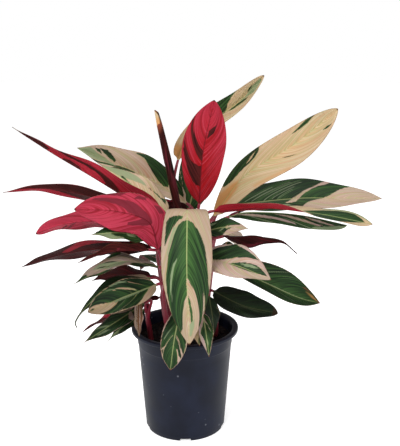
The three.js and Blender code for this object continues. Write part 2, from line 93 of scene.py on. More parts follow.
LEAVES = {
    "leaf_front_hanging": dict(
        shoot="shoot_centre", fork=0.84, width=71, face=[0.05, -1, 0.25],
        midrib=[[3, -17, 342], [4, -66, 360], [3, -99, 286], [6, -112, 180]],
        fold=[8, 8], belly=0.5, shoulder=0.5, point=0.85, base="cream", pink=0.45, band=0.6, dull_and_shade=0.3,
        patches=[
            ("green", (0.34, 0.35, 0.75, 0.008)),
            ("green", [(0.28, 0), (0.285, -0.12), (0.3, -0.28), (0.335, -0.45), (0.38, -0.58),
                (0.43, -0.69), (0.5, -0.77), (0.58, -0.83), (0.65, -0.91), (0.7, -1.02), (0.92, -1.02),
                (0.88, -0.86), (0.82, -0.7), (0.76, -0.55), (0.7, -0.38), (0.645, -0.15), (0.6, 0.02),
                (0.705, 0.02), (0.74, 0.15), (0.78, 0.26), (0.83, 0.37), (0.88, 0.5), (0.905, 0.62),
                (0.93, 1.02), (0.84, 1.02), (0.78, 0.97), (0.7, 0.92), (0.63, 0.86), (0.55, 0.79),
                (0.47, 0.7), (0.41, 0.6), (0.35, 0.47), (0.31, 0.35), (0.29, 0.2)]),
            ("green", [(0.26, 0.2), (0.255, 0.35), (0.26, 0.6), (0.27, 0.8), (0.3, 0.89), (0.36, 0.88),
                (0.43, 0.87), (0.39, 0.76), (0.34, 0.63), (0.305, 0.5), (0.28, 0.35), (0.272, 0.2)]),
            ("green", [(0.71, -0.05), (0.77, -0.18), (0.83, -0.3), (0.88, -0.32), (0.87, -0.2), (0.8, -0.1),
                (0.74, -0.03)]),
            ("cream", [(0.675, -0.68), (0.74, -0.77), (0.8, -0.87), (0.87, -1), (0.85, -1.02),
                (0.79, -0.94), (0.73, -0.84)]),
            ("pale", [(0.315, 0.4), (0.36, 0.52), (0.42, 0.64), (0.49, 0.74), (0.47, 0.78), (0.39, 0.68),
                (0.33, 0.56)]),
            ("pale", [(0.5, 0.36), (0.55, 0.5), (0.61, 0.6), (0.68, 0.7), (0.74, 0.77), (0.67, 0.75),
                (0.59, 0.65), (0.53, 0.53)]),
            ("pale", [(0.85, -0.45), (0.9, -0.5), (0.95, -0.4), (0.95, -0.1), (0.88, -0.1)]),
        ],
    ),
    "leaf_red_upright": dict(
        shoot="shoot_centre", fork=0.9, width=62, face=[0.08, 1, 0.2],
        midrib=[[22, -12, 360], [27, -30, 437], [42, -48, 512]],
        fold=[8, 8], cup=-12, wave=1.5, belly=0.56, shoulder=0.62, point=0.8, base="cream", pink=-0.15,
        pink_tip=0.7,
        patches=[
            ("green", [(0.17, 0.02), (0.38, 0), (0.37, 0.15), (0.39, 0.38), (0.43, 0.58), (0.51, 0.77),
                (0.64, 0.93), (0.5, 0.91), (0.4, 0.8), (0.3, 0.66), (0.22, 0.5), (0.18, 0.3)]),
            ("green", [(0.42, 0), (0.52, 0), (0.54, 0.12), (0.58, 0.28), (0.63, 0.45), (0.69, 0.64),
                (0.75, 0.8), (0.82, 0.97), (0.78, 1), (0.7, 0.83), (0.62, 0.64), (0.54, 0.46), (0.48, 0.3),
                (0.44, 0.15)]),
            ("green", [(0.63, -0.06), (0.67, -0.22), (0.7, -0.36), (0.75, -0.44), (0.82, -0.55),
                (0.77, -0.4), (0.75, -0.25), (0.72, -0.1)]),
        ],
    ),
    "leaf_top_back": dict(
        shoot="shoot_back", fork=0.97, width=48, face=[0.3, -1, 0.3],
        midrib=[[-9, 56, 414], [-4, 58, 430], [33, 68, 465], [86, 78, 502], [123, 70, 541]],
        fold=[42, 62], belly=0.42, shoulder=0.45, point=0.6, base="cream", pink=0.15,
        patches=[
            ("tan", [(0, -1.02), (0, 1.02), (0.1, 1.02), (0.12, 0), (0.1, -1.02)]),
            ("green", [(0.5, -0.8), (0.53, -0.3), (0.52, 0.12), (0.56, 0.12), (0.585, -0.1), (0.615, -0.4),
                (0.645, -0.6), (0.69, -0.8), (0.76, -1.02), (0.58, -1.02), (0.52, -0.95)]),
            ("green", [(0.585, 0.22), (0.62, 0.14), (0.7, 0.12), (0.75, 0.25), (0.8, 0.5), (0.76, 0.52),
                (0.7, 0.4), (0.62, 0.34)]),
            ("green", [(0.79, 0.25), (0.83, 0.2), (0.86, 0.4), (0.86, 0.62), (0.82, 0.5)]),
            ("green", [(0.81, -0.12), (0.84, -0.32), (0.89, -0.42), (0.87, -0.22), (0.84, -0.06)]),
            ("green", [(0.92, 0), (0.955, -0.05), (0.965, 0.4), (0.93, 0.42)]),
            ("green", [(0.2, 0.05), (0.3, 0.02), (0.36, 0.3), (0.42, 0.7), (0.46, 1.02), (0.36, 1.02),
                (0.28, 0.6)]),
            ("green", [(0.26, -0.05), (0.33, -0.05), (0.38, -0.4), (0.44, -0.8), (0.46, -1.02),
                (0.4, -1.02), (0.32, -0.6)]),
            ("pale", [(0.68, 0.05), (0.78, 0.1), (0.88, -0.3), (0.96, -0.3), (0.96, 0.6), (0.86, 0.75),
                (0.8, 0.4), (0.72, 0.2)]),
        ],
    ),
    "leaf_upper_left": dict(
        shoot="shoot_centre", fork=0.78, width=66, face=[0.15, -0.85, 0.7],
        midrib=[[3, 26, 352], [-48, 44, 384], [-110, 64, 409], [-167, 78, 430]],
        fold=[40, 60], belly=0.42, point=0.9, base="cream", pink=0.5, dull_and_shade=0.12,
        patches=[
            ("green", [(0.19, 0.15), (0.22, 0.05), (0.26, 0.08), (0.3, 0.2), (0.34, 0.35), (0.38, 0.5),
                (0.42, 0.7), (0.44, 0.82), (0.53, 0.88), (0.5, 0.96), (0.4, 1.02), (0.28, 1.02),
                (0.24, 0.8), (0.21, 0.5), (0.19, 0.3)]),
            ("green", [(0.04, 0.4), (0.1, 0.3), (0.13, 0.5), (0.18, 1.02), (0.1, 1.02), (0.05, 0.7)]),
            ("green", [(0.67, 0.04), (0.73, 0.22), (0.78, 0.46), (0.82, 0.74), (0.75, 0.68), (0.7, 0.45),
                (0.66, 0.2)]),
            ("green", [(0.79, 0.3), (0.83, 0.46), (0.86, 0.74), (0.81, 0.66)]),
            ("green", (0.79, -0.05, -0.6, 0.012)),
            ("green", (0.84, 0.05, 0.4, 0.012)),
            ("green", [(0.47, -0.26), (0.55, -0.3), (0.62, -0.42), (0.68, -0.55), (0.74, -0.75),
                (0.79, -1.02), (0.86, -1.02), (0.78, -0.72), (0.7, -0.38), (0.62, -0.14), (0.55, -0.03),
                (0.48, -0.08)]),
            ("pale", [(0.62, -0.34), (0.7, -0.12), (0.76, 0.1), (0.82, 0.2), (0.86, 0.5), (0.9, 0.85),
                (1.05, 0.5), (1.05, -1), (0.88, -1), (0.8, -0.7), (0.73, -0.42)]),
        ],
    ),
    "leaf_cream_right": dict(
        shoot="shoot_right", fork=0.85, width=64, face=[0.1, -0.95, 0.3],
        midrib=[[44, 6, 336], [92, 24, 394], [169, 42, 440], [234, 50, 492]],
        fold=[45, 28], cup=-12, belly=0.58, point=0.7, base="cream", pink=0.12, worn_edge=0.35,
        patches=[
            ("green", [(0.17, -0.97), (0.17, -0.82), (0.19, -0.68), (0.22, -0.52), (0.28, -0.47),
                (0.36, -0.5), (0.41, -0.62), (0.44, -0.78), (0.46, -1.02), (0.2, -1.02)]),
            ("green", [(0.67, -0.64), (0.72, -0.72), (0.76, -0.85), (0.8, -0.95), (0.84, -1.02), (0.87, -1),
                (0.83, -0.82), (0.8, -0.7), (0.74, -0.62)]),
            ("green", [(0.555, 0.27), (0.59, 0.34), (0.635, 0.49), (0.6, 0.44), (0.57, 0.35)]),
            ("green", [(0.85, 0.5), (0.88, 0.55), (0.92, 0.8), (0.89, 0.75), (0.86, 0.6)]),
            ("cream", [(0.345, -0.58), (0.385, -0.76), (0.42, -0.86), (0.41, -0.78), (0.37, -0.6)]),
            ("tan", [(0, -1.02), (0.12, -1.02), (0.17, -0.6), (0.22, -0.38), (0.26, -0.1), (0.22, 0.2),
                (0.14, 0.3), (0, 0.2)]),
            ("tan", [(0.3, 0.78), (0.42, 0.82), (0.56, 0.88), (0.56, 0.95), (0.42, 0.92), (0.3, 0.88)]),
        ],
    ),
    "leaf_arching_right": dict(
        shoot="shoot_right", fork=0.75, width=72, face=[-0.05, -0.75, 0.8],
        midrib=[[75, 34, 347], [183, 62, 351], [256, 70, 349], [316, 72, 348]],
        fold=[13, 34], wave=1.5, belly=0.45, shoulder=0.45, point=0.9, base="green", pink=0.6, dark=0.08,
        band=0.15,
        patches=[
            ("cream", [(0.37, 0.2), (0.4, 0), (0.45, -0.2), (0.5, -0.4), (0.56, -0.6), (0.6, -0.8),
                (0.64, -1.02), (0.68, -1.02), (0.64, -0.8), (0.58, -0.6), (0.53, -0.4), (0.48, -0.18),
                (0.44, 0.08), (0.41, 0.34), (0.35, 0.42), (0.33, 0.38)]),
            ("cream", [(0.81, -1.02), (0.75, -0.72), (0.7, -0.42), (0.66, -0.18), (0.6, 0.06), (0.55, 0.22),
                (0.49, 0.42), (0.46, 0.6), (0.4, 1.02), (1.05, 1.02), (1.05, -1.02)]),
            ("pale", (0.06, -0.15, -0.7, 0.012)),
            ("pale", (0.11, -0.1, -0.85, 0.018)),
            ("pale", (0.15, -0.3, -0.9, 0.01)),
            ("pale", (0.2, -0.05, -0.8, 0.02)),
            ("pale", (0.25, -0.1, -0.6, 0.012)),
            ("pale", (0.3, -0.02, -0.45, 0.018)),
            ("pale", (0.17, 0.1, 0.6, 0.014)),
            ("pale", [(0.24, 0.42), (0.34, 0.5), (0.37, 0.64), (0.3, 0.6)]),
            ("green", [(0.45, 0.3), (0.56, 0.16), (0.6, 0.02), (0.57, 0.08), (0.48, 0.3)]),
        ],
    ),
    "leaf_lower_right_red": dict(
        shoot="shoot_right", fork=0.9, width=34, face=[0, 0.1, 1],
        midrib=[[44, -8, 347], [114, -16, 354], [197, -16, 344], [281, -10, 326]],
        fold=[18, 18], twist=118, belly=0.7, shoulder=0.38, point=0.8, base="cream", pink=0.2,
        patches=[
            ("green", [(0.55, -0.1), (0.6, -0.35), (0.68, -0.62), (0.78, -0.8), (0.88, -0.82), (0.93, -0.5),
                (0.95, 0), (0.9, 0.3), (0.84, 0.6), (0.76, 1.02), (0.6, 1.02), (0.56, 0.4)]),
            ("pale", [(0.62, -1.02), (0.7, -0.8), (0.9, -0.84), (1.05, -0.5), (1.05, -1.02)]),
        ],
    ),
    "leaf_lower_right_olive": dict(
        shoot="shoot_right", fork=0.82, width=38, face=[0, -0.85, 0.5],
        midrib=[[67, 1, 336], [86, 6, 341], [122, 9, 341], [179, 8, 336], [246, 2, 322]],
        fold=[-70, 0], belly=0.66, shoulder=0.6, point=0.6, base="green", pink=0.9, dark=0.12, dull_and_shade=0.3,
        dry=1, band=0.1,
        patches=[
            ("cream", [(0.06, 0.22), (0.2, 0.24), (0.34, 0.34), (0.46, 0.5), (0.56, 0.7), (0.58, 0.82),
                (0.5, 0.74), (0.4, 0.62), (0.26, 0.54), (0.12, 0.46)]),
            ("cream", [(0.38, 0.12), (0.5, 0.16), (0.6, 0.28), (0.7, 0.44), (0.8, 0.6), (0.76, 0.66),
                (0.66, 0.52), (0.56, 0.4), (0.46, 0.26)]),
            ("cream", [(0.64, 0.1), (0.76, 0.16), (0.88, 0.36), (0.9, 0.5), (0.82, 0.42), (0.72, 0.28)]),
            ("pale", (0.02, 0.3, 0.95, 0.02)),
            ("pale", (0.36, 0.4, 1, 0.02)),
            ("pale", [(0.7, 0.98), (0.74, 0.76), (0.84, 0.64), (0.93, 0.4), (1.05, 0.4), (1.05, 1.02),
                (0.7, 1.02)]),
        ],
    ),
    "leaf_small_cream_tip": dict(
        shoot="shoot_right", fork=0.7, width=28, face=[0, -0.85, 0.6],
        midrib=[[31, -34, 323], [59, -50, 333], [90, -62, 334]],
        fold=[14, 14], base="green", dark=0.2, pink=0.6,
        patches=[
            ("cream", [(0.48, -0.03), (0.6, -0.2), (0.7, -0.33), (0.8, -0.5), (0.84, -1.02), (1.02, -1.02),
                (1.02, 1.02), (0.46, 1.02), (0.5, 0.7), (0.56, 0.35), (0.66, 0.02), (0.6, 0.04),
                (0.52, 0.18)]),
            ("pale", [(0.1, -1.02), (0.18, -0.8), (0.28, -0.66), (0.22, -0.56), (0.13, -0.5),
                (0.08, -0.7)]),
            ("pale", [(0.34, 0.4), (0.42, 0.1), (0.48, 0.02), (0.46, 0.2), (0.4, 0.45)]),
        ],
    ),
    "leaf_curled_right": dict(
        shoot="shoot_right", fork=0.55, width=40, face=[0, 0.9, 0.4],
        midrib=[[59, -8, 309], [88, -24, 312], [113, -32, 313], [140, -34, 309], [166, -32, 288]],
        fold=[4, -45], cup=-8, belly=0.32, point=3, tip=1.6, base="green", dark=0.4, pink=0.8,
        patches=[
            ("pale", [(0.16, -0.9), (0.3, -0.95), (0.5, -0.8), (0.52, -0.6), (0.36, -0.66), (0.2, -0.72)]),
            ("cream", (0.3, 0.2, 0.9, 0.01)),
            ("cream", (0.44, -0.1, -0.8, 0.012)),
        ],
    ),
    "leaf_mid_right": dict(
        shoot="shoot_low_right", fork=0.9, width=66, face=[0.05, -0.85, 0.6],
        midrib=[[25, -46, 287], [75, -84, 285], [118, -112, 274]],
        fold=[4, 40], cup=-10, point=1.05, base="cream", pink=0.7, dull_and_shade=0.05, dark=0.05, band=0.2,
        patches=[
            ("pale", (0.12, -0.3, -0.8, 0.012)),
            ("pale", (0.04, -0.4, -0.7, 0.01)),
            ("green", [(-0.02, -0.62), (0.1, -0.74), (0.24, -0.9), (0.38, -1.02), (0.42, -0.9),
                (0.52, -0.86), (0.62, -0.86), (0.74, -0.9), (0.68, -0.7), (0.6, -0.55), (0.5, -0.39),
                (0.4, -0.24), (0.3, -0.11), (0.2, -0.03), (0.1, 0.02), (-0.02, 0.1)]),
            ("green", [(0.4, 0.03), (0.46, -0.08), (0.55, -0.2), (0.65, -0.36), (0.72, -0.46), (0.8, -0.55),
                (0.9, -0.5), (0.94, -0.35), (0.88, -0.12), (0.8, 0.02), (0.7, 0.13), (0.6, 0.12),
                (0.5, 0.08)]),
            ("pale", [(0.55, -0.14), (0.65, -0.3), (0.74, -0.4), (0.8, -0.42), (0.74, -0.24),
                (0.64, -0.12)]),
            ("brown", [(0.33, 0.8), (0.41, 0.86), (0.5, 0.93), (0.45, 0.94), (0.36, 0.88)]),
        ],
    ),
    "leaf_far_right": dict(
        shoot="shoot_right", fork=0.42, width=68, face=[0.15, -0.95, 0.4],
        midrib=[[49, 4, 268], [121, 8, 231], [180, 13, 202], [213, 16, 192]],
        fold=[0, 66], belly=0.62, shoulder=0.8, point=1, base="green", dark=0.2, band=0.75, dry=5, hem=0.4,
        patches=[
            ("pale", (0.3, -0.5, -0.95, 0.008)),
            ("pale", (0.42, -0.6, -0.98, 0.01)),
            ("pale", (0.2, 0.1, 0.6, 0.01)),
            ("pale", (0.5, 0.15, 0.7, 0.01)),
            ("pale", [(0.35, -0.04), (0.9, -0.02), (0.9, 0.05), (0.35, 0.06)]),
            ("brown", [(0.8, -0.72), (0.84, -0.84), (0.9, -0.9), (0.88, -0.78), (0.83, -0.7)]),
            ("tan", [(0.86, -0.6), (0.92, -0.7), (0.97, -0.5), (0.97, -0.3), (0.92, -0.42)]),
        ],
    ),
    "leaf_low_right": dict(
        shoot="shoot_basal_right", fork=0.8, width=48, face=[0.05, -0.85, 0.6],
        midrib=[[44, -12, 223], [87, -38, 209], [137, -52, 202]],
        fold=[2, 38], belly=0.42, shoulder=0.55, point=0.65, base="green", dark=0.85, band=0.9, dry=8,
        worn_edge=0.3,
        patches=[
            ("pale", [(0.4, 0.22), (0.5, 0.06), (0.6, 0.08), (0.7, 0.15), (0.8, 0.24), (0.87, 0.34),
                (0.8, 0.33), (0.7, 0.25), (0.6, 0.17), (0.5, 0.15)]),
        ],
    ),
    "leaf_rim_right": dict(
        shoot="shoot_basal_front", fork=0.85, width=22, face=[0.2, -1, 0.3],
        midrib=[[26, -64, 208], [30, -90, 187], [34, -102, 157]],
        fold=[15, 15], base="green", dark=0.2, pink=0.8, hem=0.6,
        patches=[
            ("cream", [(0.1, -0.1), (0.2, -0.26), (0.32, -0.5), (0.4, -0.62), (0.5, -0.64), (0.42, -0.5),
                (0.33, -0.38), (0.26, -0.16), (0.2, 0.1), (0.32, 0.3), (0.42, 0.6), (0.5, 0.78),
                (0.56, 0.6), (0.64, 0.44), (0.74, 0.4), (0.84, 0.5), (0.9, 1.02), (0, 1.02), (0, 0)]),
            ("cream", [(0.6, -0.96), (0.74, -0.86), (0.88, -0.9), (0.9, -1.02), (0.6, -1.02)]),
            ("pale", [(0.62, 0), (0.7, -0.2), (0.78, -0.2), (0.7, 0.1)]),
        ],
    ),
    "leaf_rim_dark": dict(
        shoot="shoot_low_right", fork=0.75, width=26, face=[0.5, -0.9, 0.1],
        midrib=[[36, -34, 223], [40, -50, 201], [43, -58, 173]],
        fold=[15, 15], wave=1, base="green", dark=0.8, pink=0.6,
        patches=[
            ("cream", [(0.22, -1.02), (0.27, -0.85), (0.33, -0.68), (0.38, -0.84), (0.45, -0.82),
                (0.55, -0.9), (0.6, -1.02)]),
        ],
    ),
    "leaf_rim_left": dict(
        shoot="shoot_basal_front", fork=0.7, width=38, face=[-0.1, -1, 0.3],
        midrib=[[-4, -64, 219], [-14, -94, 187], [-21, -106, 139]],
        fold=[8, 8], belly=0.58, point=0.85, base="green", pink=0.5, dark=0.22, band=0.3, hem=0.8,
        worn_edge=0.1,
        patches=[
            ("cream", [(0.48, -0.1), (0.54, -0.34), (0.64, -0.54), (0.71, -0.78), (0.77, -1.02),
                (0.81, -1.02), (0.74, -0.76), (0.66, -0.5), (0.56, -0.3), (0.5, -0.08)]),
            ("cream", [(0.61, -0.26), (0.68, -0.38), (0.76, -0.58), (0.83, -1.02), (0.9, -1.02),
                (0.85, -0.72), (0.78, -0.5), (0.7, -0.32)]),
            ("cream", [(0.6, 0.42), (0.65, 0.58), (0.69, 0.86), (0.71, 1.02), (0.74, 1.02), (0.7, 0.8),
                (0.66, 0.54)]),
            ("pale", (0.3, 0.1, 0.75, 0.01)),
            ("cream", (0.46, 0.15, 0.95, 0.02)),
            ("cream", [(0.22, 0.9), (0.5, 0.93), (0.5, 1.02), (0.2, 1.02)]),
            ("cream", [(0.52, -0.9), (0.66, -0.93), (0.7, -1.02), (0.5, -1.02)]),
        ],
    ),
    "leaf_rim_sliver": dict(
        shoot="shoot_basal_front", fork=0.9, width=16, face=[0.1, -1, 0.3],
        midrib=[[10, -60, 202], [16, -84, 187], [21, -92, 169]],
        fold=[12, 12], wave=1, base="cream", pink=0.1,
        patches=[
            ("green", [(0.68, -0.5), (0.76, -0.4), (0.82, 0), (0.9, 0.7), (0.95, 0.9), (0.98, 0),
                (0.9, -0.8)]),
        ],
    ),
    "leaf_under_left": dict(
        shoot="shoot_left", fork=0.9, width=46, face=[0.3, -0.85, 0.7],
        midrib=[[-24, -4, 344], [-69, 4, 379], [-124, 20, 412]],
        fold=[10, 10], base="cream", pink=0.3,
        patches=[
            ("pale", [(0.4, 0.5), (0.55, 0.34), (0.75, 0.05), (1.05, -0.2), (1.05, 1.02), (0.8, 1.02),
                (0.6, 0.85), (0.48, 0.66)]),
            ("green", [(0.55, -0.02), (0.62, -0.08), (0.71, 0.04), (0.73, 0.2), (0.7, 0.26), (0.64, 0.12)]),
            ("green", [(0.64, 1.02), (0.74, 0.88), (0.82, 0.8), (0.9, 0.85), (0.86, 1.02)]),
            ("green", [(0.08, 0.6), (0.18, 0.57), (0.3, 0.5), (0.38, 0.46), (0.36, 0.54), (0.28, 0.6),
                (0.18, 0.66), (0.12, 1)]),
        ],
    ),
    "leaf_far_left": dict(
        shoot="shoot_left", fork=0.85, width=50, face=[0.15, 0.6, 0.9],
        midrib=[[-35, -30, 341], [-125, -42, 403], [-184, -40, 439], [-240, -30, 474]],
        fold=[40, 40], belly=0.2, shoulder=0.5, point=1.5, base="cream", pink=0.3, dry=0, dark_tip=0.35,
        patches=[
            ("green", [(0.64, 1.02), (0.46, 0.6), (0.35, 0.3), (0.27, 0), (0.31, -0.26), (0.36, -0.48),
                (0.43, -0.62), (0.52, -0.7), (0.6, -0.78), (0.68, -1.02), (0.72, -0.95), (0.64, -0.6),
                (0.55, -0.54), (0.46, -0.44), (0.41, -0.26), (0.38, -0.1), (0.42, 0.3), (0.52, 0.6),
                (0.7, 1.02)]),
            ("green", [(0.82, 1.02), (0.66, 0.55), (0.56, 0.25), (0.52, 0.05), (0.56, -0.2), (0.62, -0.35),
                (0.66, -0.2), (0.66, 0.05), (0.7, 0.3), (0.78, 0.6), (0.9, 1.02)]),
            ("green", (0.1, 0.05, 1, 0.05)),
            ("green", [(0.98, 0.9), (0.88, 0.5), (0.77, 0), (0.75, -0.5), (0.8, -0.9), (1.02, -1.02),
                (1.02, 1.02)]),
        ],
    ),
    "leaf_left_dark": dict(
        shoot="shoot_left", fork=0.8, width=30, face=[0.1, 0.85, 0.5],
        midrib=[[-55, 22, 338], [-151, 40, 362], [-215, 52, 371], [-281, 56, 364]],
        fold=[12, 12], belly=0.36, base="green", dark=0.1, pink=0.4, hem=0.3,
        patches=[
            ("cream", [(0.42, 1.02), (0.5, 0.72), (0.62, 0.36), (0.72, 0.1), (0.8, -0.15), (0.9, -0.5),
                (0.96, -0.6), (0.97, 0), (0.93, 0.9), (0.9, 1.02)]),
            ("cream", (0.16, 0.5, 1, 0.02)),
        ],
    ),
    "leaf_front_pink": dict(
        shoot="shoot_left", fork=0.7, width=66, face=[0, 0.95, 0.3],
        midrib=[[-38, -50, 301], [-50, -59, 343], [-92, -72, 362], [-150, -84, 368]],
        fold=[5, 5], cup=-10, belly=0.5, point=0.8, base="cream", pink=0.85,
        patches=[
            ("pale", [(0.27, -0.1), (0.35, -0.3), (0.42, -0.42), (0.5, -0.55), (0.6, -0.63), (0.7, -0.72),
                (0.82, -0.88), (0.86, -0.86), (0.78, -0.58), (0.7, -0.44), (0.62, -0.32), (0.56, -0.2),
                (0.52, -0.06), (0.44, 0), (0.37, 0.04), (0.39, 0.2), (0.43, 0.34), (0.48, 0.45),
                (0.47, 0.58), (0.42, 0.56), (0.36, 0.46), (0.3, 0.34), (0.27, 0.15)]),
            ("pale", [(0.42, -0.86), (0.46, -0.78), (0.51, -0.74), (0.49, -0.9), (0.43, -0.97)]),
            ("pale", [(0.3, -0.68), (0.36, -0.8), (0.33, -0.95), (0.29, -0.9)]),
            ("pale", [(0.58, -1.02), (0.63, -0.84), (0.72, -0.9), (0.8, -1.02)]),
        ],
    ),
    "leaf_left_pink": dict(
        shoot="shoot_left", fork=0.88, width=46, face=[0, 0.9, 0.6],
        midrib=[[-61, -30, 333], [-131, -46, 342], [-176, -52, 338], [-210, -56, 326]],
        fold=[10, 22], point=0.65, base="cream", pink=0.85,
        patches=[
            ("pale", [(0.61, -0.12), (0.65, 0.14), (0.69, 0.46), (0.74, 0.92), (0.72, 0.98), (0.67, 0.6),
                (0.63, 0.26)]),
            ("green", [(0.7, 0.16), (0.73, 0.4), (0.78, 0.9), (0.76, 0.9), (0.71, 0.45)]),
        ],
    ),
    "leaf_left_dark_red": dict(
        shoot="shoot_left", fork=0.6, width=48, face=[0, 0.7, 0.75],
        midrib=[[-45, -22, 292], [-108, -36, 299], [-174, -40, 292], [-239, -36, 271]],
        fold=[10, 10], base="green", dark=0.35, pink=0.3,
        patches=[
            ("cream", [(0.14, -1.02), (0.2, -0.82), (0.3, -0.74), (0.42, -0.66), (0.52, -0.5), (0.57, -0.3),
                (0.62, -0.12), (0.67, -0.22), (0.64, -0.5), (0.58, -0.78), (0.54, -1.02)]),
            ("cream", [(0.3, 0.5), (0.42, 0.35), (0.5, 0.4), (0.42, 0.5)]),
        ],
    ),
    "leaf_left_thin": dict(
        shoot="shoot_left", fork=0.65, width=26, face=[0, 0.7, 0.7],
        midrib=[[-52, -54, 301], [-102, -70, 304], [-150, -80, 290]],
        fold=[30, 30], belly=0.35, base="green",
        patches=[
            ("pale", [(0.4, -0.34), (0.43, -0.34), (0.44, -0.1), (0.41, -0.1)]),
        ],
    ),
    "leaf_left_small": dict(
        shoot="shoot_left", fork=0.72, width=32, face=[0, -0.6, 1],
        midrib=[[-50, -38, 313], [-89, -53, 326], [-130, -68, 328]],
        base="green", pink=0.2,
        patches=[
            ("pale", [(0.66, 0.1), (0.68, -0.3), (0.6, -0.6), (0.5, -0.72), (0.48, -0.9), (0.6, -1.02),
                (1.02, -1.02), (1.02, 0.3), (0.85, 0.1)]),
            ("pale", [(0.26, -0.3), (0.4, -0.36), (0.42, -0.1), (0.3, 0.1)]),
        ],
    ),
    "leaf_left_grey": dict(
        shoot="shoot_low_left", fork=0.92, width=42, face=[0.1, -0.2, 1],
        midrib=[[-39, -40, 271], [-91, -66, 287], [-153, -96, 265]],
        fold=[20, 14], base="cream", pink=0.9, dark=0.28, dull_and_shade=0.3, band=0.1,
        patches=[
            ("green", (0.1, 0.1, 0.9, 0.016)),
            ("green", (0.2, 0.05, 0.7, 0.014)),
            ("green", (0.33, -0.1, -0.8, 0.014)),
            ("green", (0.34, 0.1, 0.9, 0.012)),
            ("green", [(-0.02, -1.02), (0.36, -1.02), (0.4, -0.8), (0.34, -0.4), (0.24, -0.05), (0.12, 0.3),
                (-0.02, 0.7)]),
            ("pale", [(0.3, 0), (0.4, -0.3), (0.5, -0.9), (0.62, -0.6), (0.68, 0), (0.76, 0.5), (0.66, 0.7),
                (0.56, 0.3), (0.46, 0.05)]),
            ("green", [(0.47, 0.03), (0.54, 0.14), (0.6, 0.32), (0.64, 0.56), (0.58, 0.42), (0.52, 0.24)]),
            ("green", [(0.57, -0.42), (0.62, -0.12), (0.7, 0.22), (0.73, 0.38), (0.67, 0.28), (0.6, 0.02)]),
            ("green", [(0.58, -1.02), (0.64, -0.72), (0.76, -0.6), (0.84, -0.2), (0.84, 0.5), (0.9, 1.02),
                (1.02, 1.02), (1.02, -1.02)]),
            ("green", [(0.4, 0.84), (0.46, 0.7), (0.53, 0.68), (0.56, 0.86), (0.5, 1.02), (0.4, 1.02)]),
        ],
    ),
    "leaf_left_purple": dict(
        shoot="shoot_left", fork=0.5, width=44, face=[0, -0.2, 1],
        midrib=[[-50, 0, 244], [-94, -14, 252], [-139, -26, 246]],
        fold=[14, 14], base="green", turned=True, pink=0.9, dark=0.3,
        patches=[
            ("cream", [(0.04, 0.1), (0.2, -0.3), (0.36, -0.6), (0.5, -1.02), (0.3, -1.02), (0.1, -1.02),
                (0.02, -0.5)]),
            ("pale", (0.3, 0, 0.8, 0.02)),
            ("pale", (0.42, 0, -0.8, 0.02)),
        ],
    ),
    "leaf_left_oval": dict(
        shoot="shoot_low_left", fork=0.85, width=50, face=[-0.05, -0.95, 0.5],
        midrib=[[-41, -62, 251], [-88, -88, 241], [-135, -98, 224]],
        fold=[42, 6], belly=0.45, point=0.7, base="green", dark=0.4, pink=0.25, band=0.1, hem=0.9,
        patches=[
            ("cream", (0.1, 0.1, 0.75, 0.014)),
            ("cream", (0.36, 0.05, 0.5, 0.012)),
            ("cream", (0.28, -0.2, -0.95, 0.016)),
            ("pale", (0.44, -0.1, -0.6, 0.012)),
            ("cream", [(-0.02, -1.02), (0.45, -1.02), (0.38, -0.92), (0.32, -0.76), (0.25, -0.56),
                (0.17, -0.3), (0.12, -0.02), (0.04, 0.15), (-0.02, 0.3)]),
            ("cream", [(0.62, -0.32), (0.68, -0.5), (0.74, -0.66), (0.82, -0.8), (0.88, -1.02),
                (1.02, -1.02), (1.02, 0.7), (0.95, 0.6), (0.88, 0.4), (0.82, 0.24), (0.75, 0.1),
                (0.66, -0.02), (0.58, -0.1)]),
            ("pale", [(0.12, -0.08), (0.3, -0.15), (0.5, -0.16), (0.62, -0.2), (0.64, -0.03), (0.5, 0.02),
                (0.3, 0), (0.15, 0.05)]),
            ("cream", [(0.27, 0.07), (0.34, 0.21), (0.4, 0.34), (0.5, 0.53), (0.59, 0.62), (0.56, 0.66),
                (0.46, 0.54), (0.38, 0.41), (0.31, 0.26)]),
            ("pale", [(0.36, 0.77), (0.5, 0.85), (0.62, 0.95), (0.58, 1), (0.46, 0.91), (0.37, 0.83)]),
            ("pale", [(0.56, 0.64), (0.64, 0.71), (0.7, 0.79), (0.76, 0.92), (0.71, 0.86), (0.63, 0.76)]),
            ("green", [(0.9, 0.05), (0.93, -0.2), (0.97, -0.1), (0.96, 0.2), (0.92, 0.25)]),
        ],
    ),
    "leaf_left_curl": dict(
        shoot="shoot_low_left", fork=0.7, width=34, face=[-0.2, -0.7, 0.8],
        midrib=[[-51, -44, 255], [-107, -68, 246], [-137, -80, 228], [-155, -86, 203], [-153, -86, 196]],
        fold=[14, 14], belly=0.33, point=3, tip=1.4, base="green", dark=0.15, dark_tip=0.5, pink=0.4,
        patches=[
            ("cream", [(-0.02, 0.1), (0.06, 0.4), (0.12, 0.64), (0.2, 0.86), (0.22, 1.02), (-0.02, 1.02)]),
            ("pale", [(0.3, 0.3), (0.45, 0.2), (0.55, 0.26), (0.64, 0.1), (0.68, -0.3), (0.7, 0),
                (0.64, 0.3), (0.5, 0.36), (0.36, 0.4)]),
            ("cream", [(0.15, -1.02), (0.22, -0.7), (0.36, -0.35), (0.48, -0.1), (0.44, -0.3),
                (0.32, -0.62), (0.24, -1.02)]),
        ],
    ),
    "leaf_low_left_burgundy": dict(
        shoot="shoot_basal_left", fork=0.9, width=32, face=[0, 0.7, 0.8],
        midrib=[[-64, -30, 213], [-106, -54, 204], [-150, -70, 182]],
        fold=[10, 10], base="green", dark=0.1, pink=0.6, hem=0.3,
        patches=[
            ("cream", [(0.49, 0), (0.55, -0.45), (0.6, -0.9), (0.64, -1.02), (0.66, -0.7), (0.61, -0.3),
                (0.57, 0.1), (0.54, 0.4)]),
        ],
    ),
    "leaf_inner_burgundy": dict(
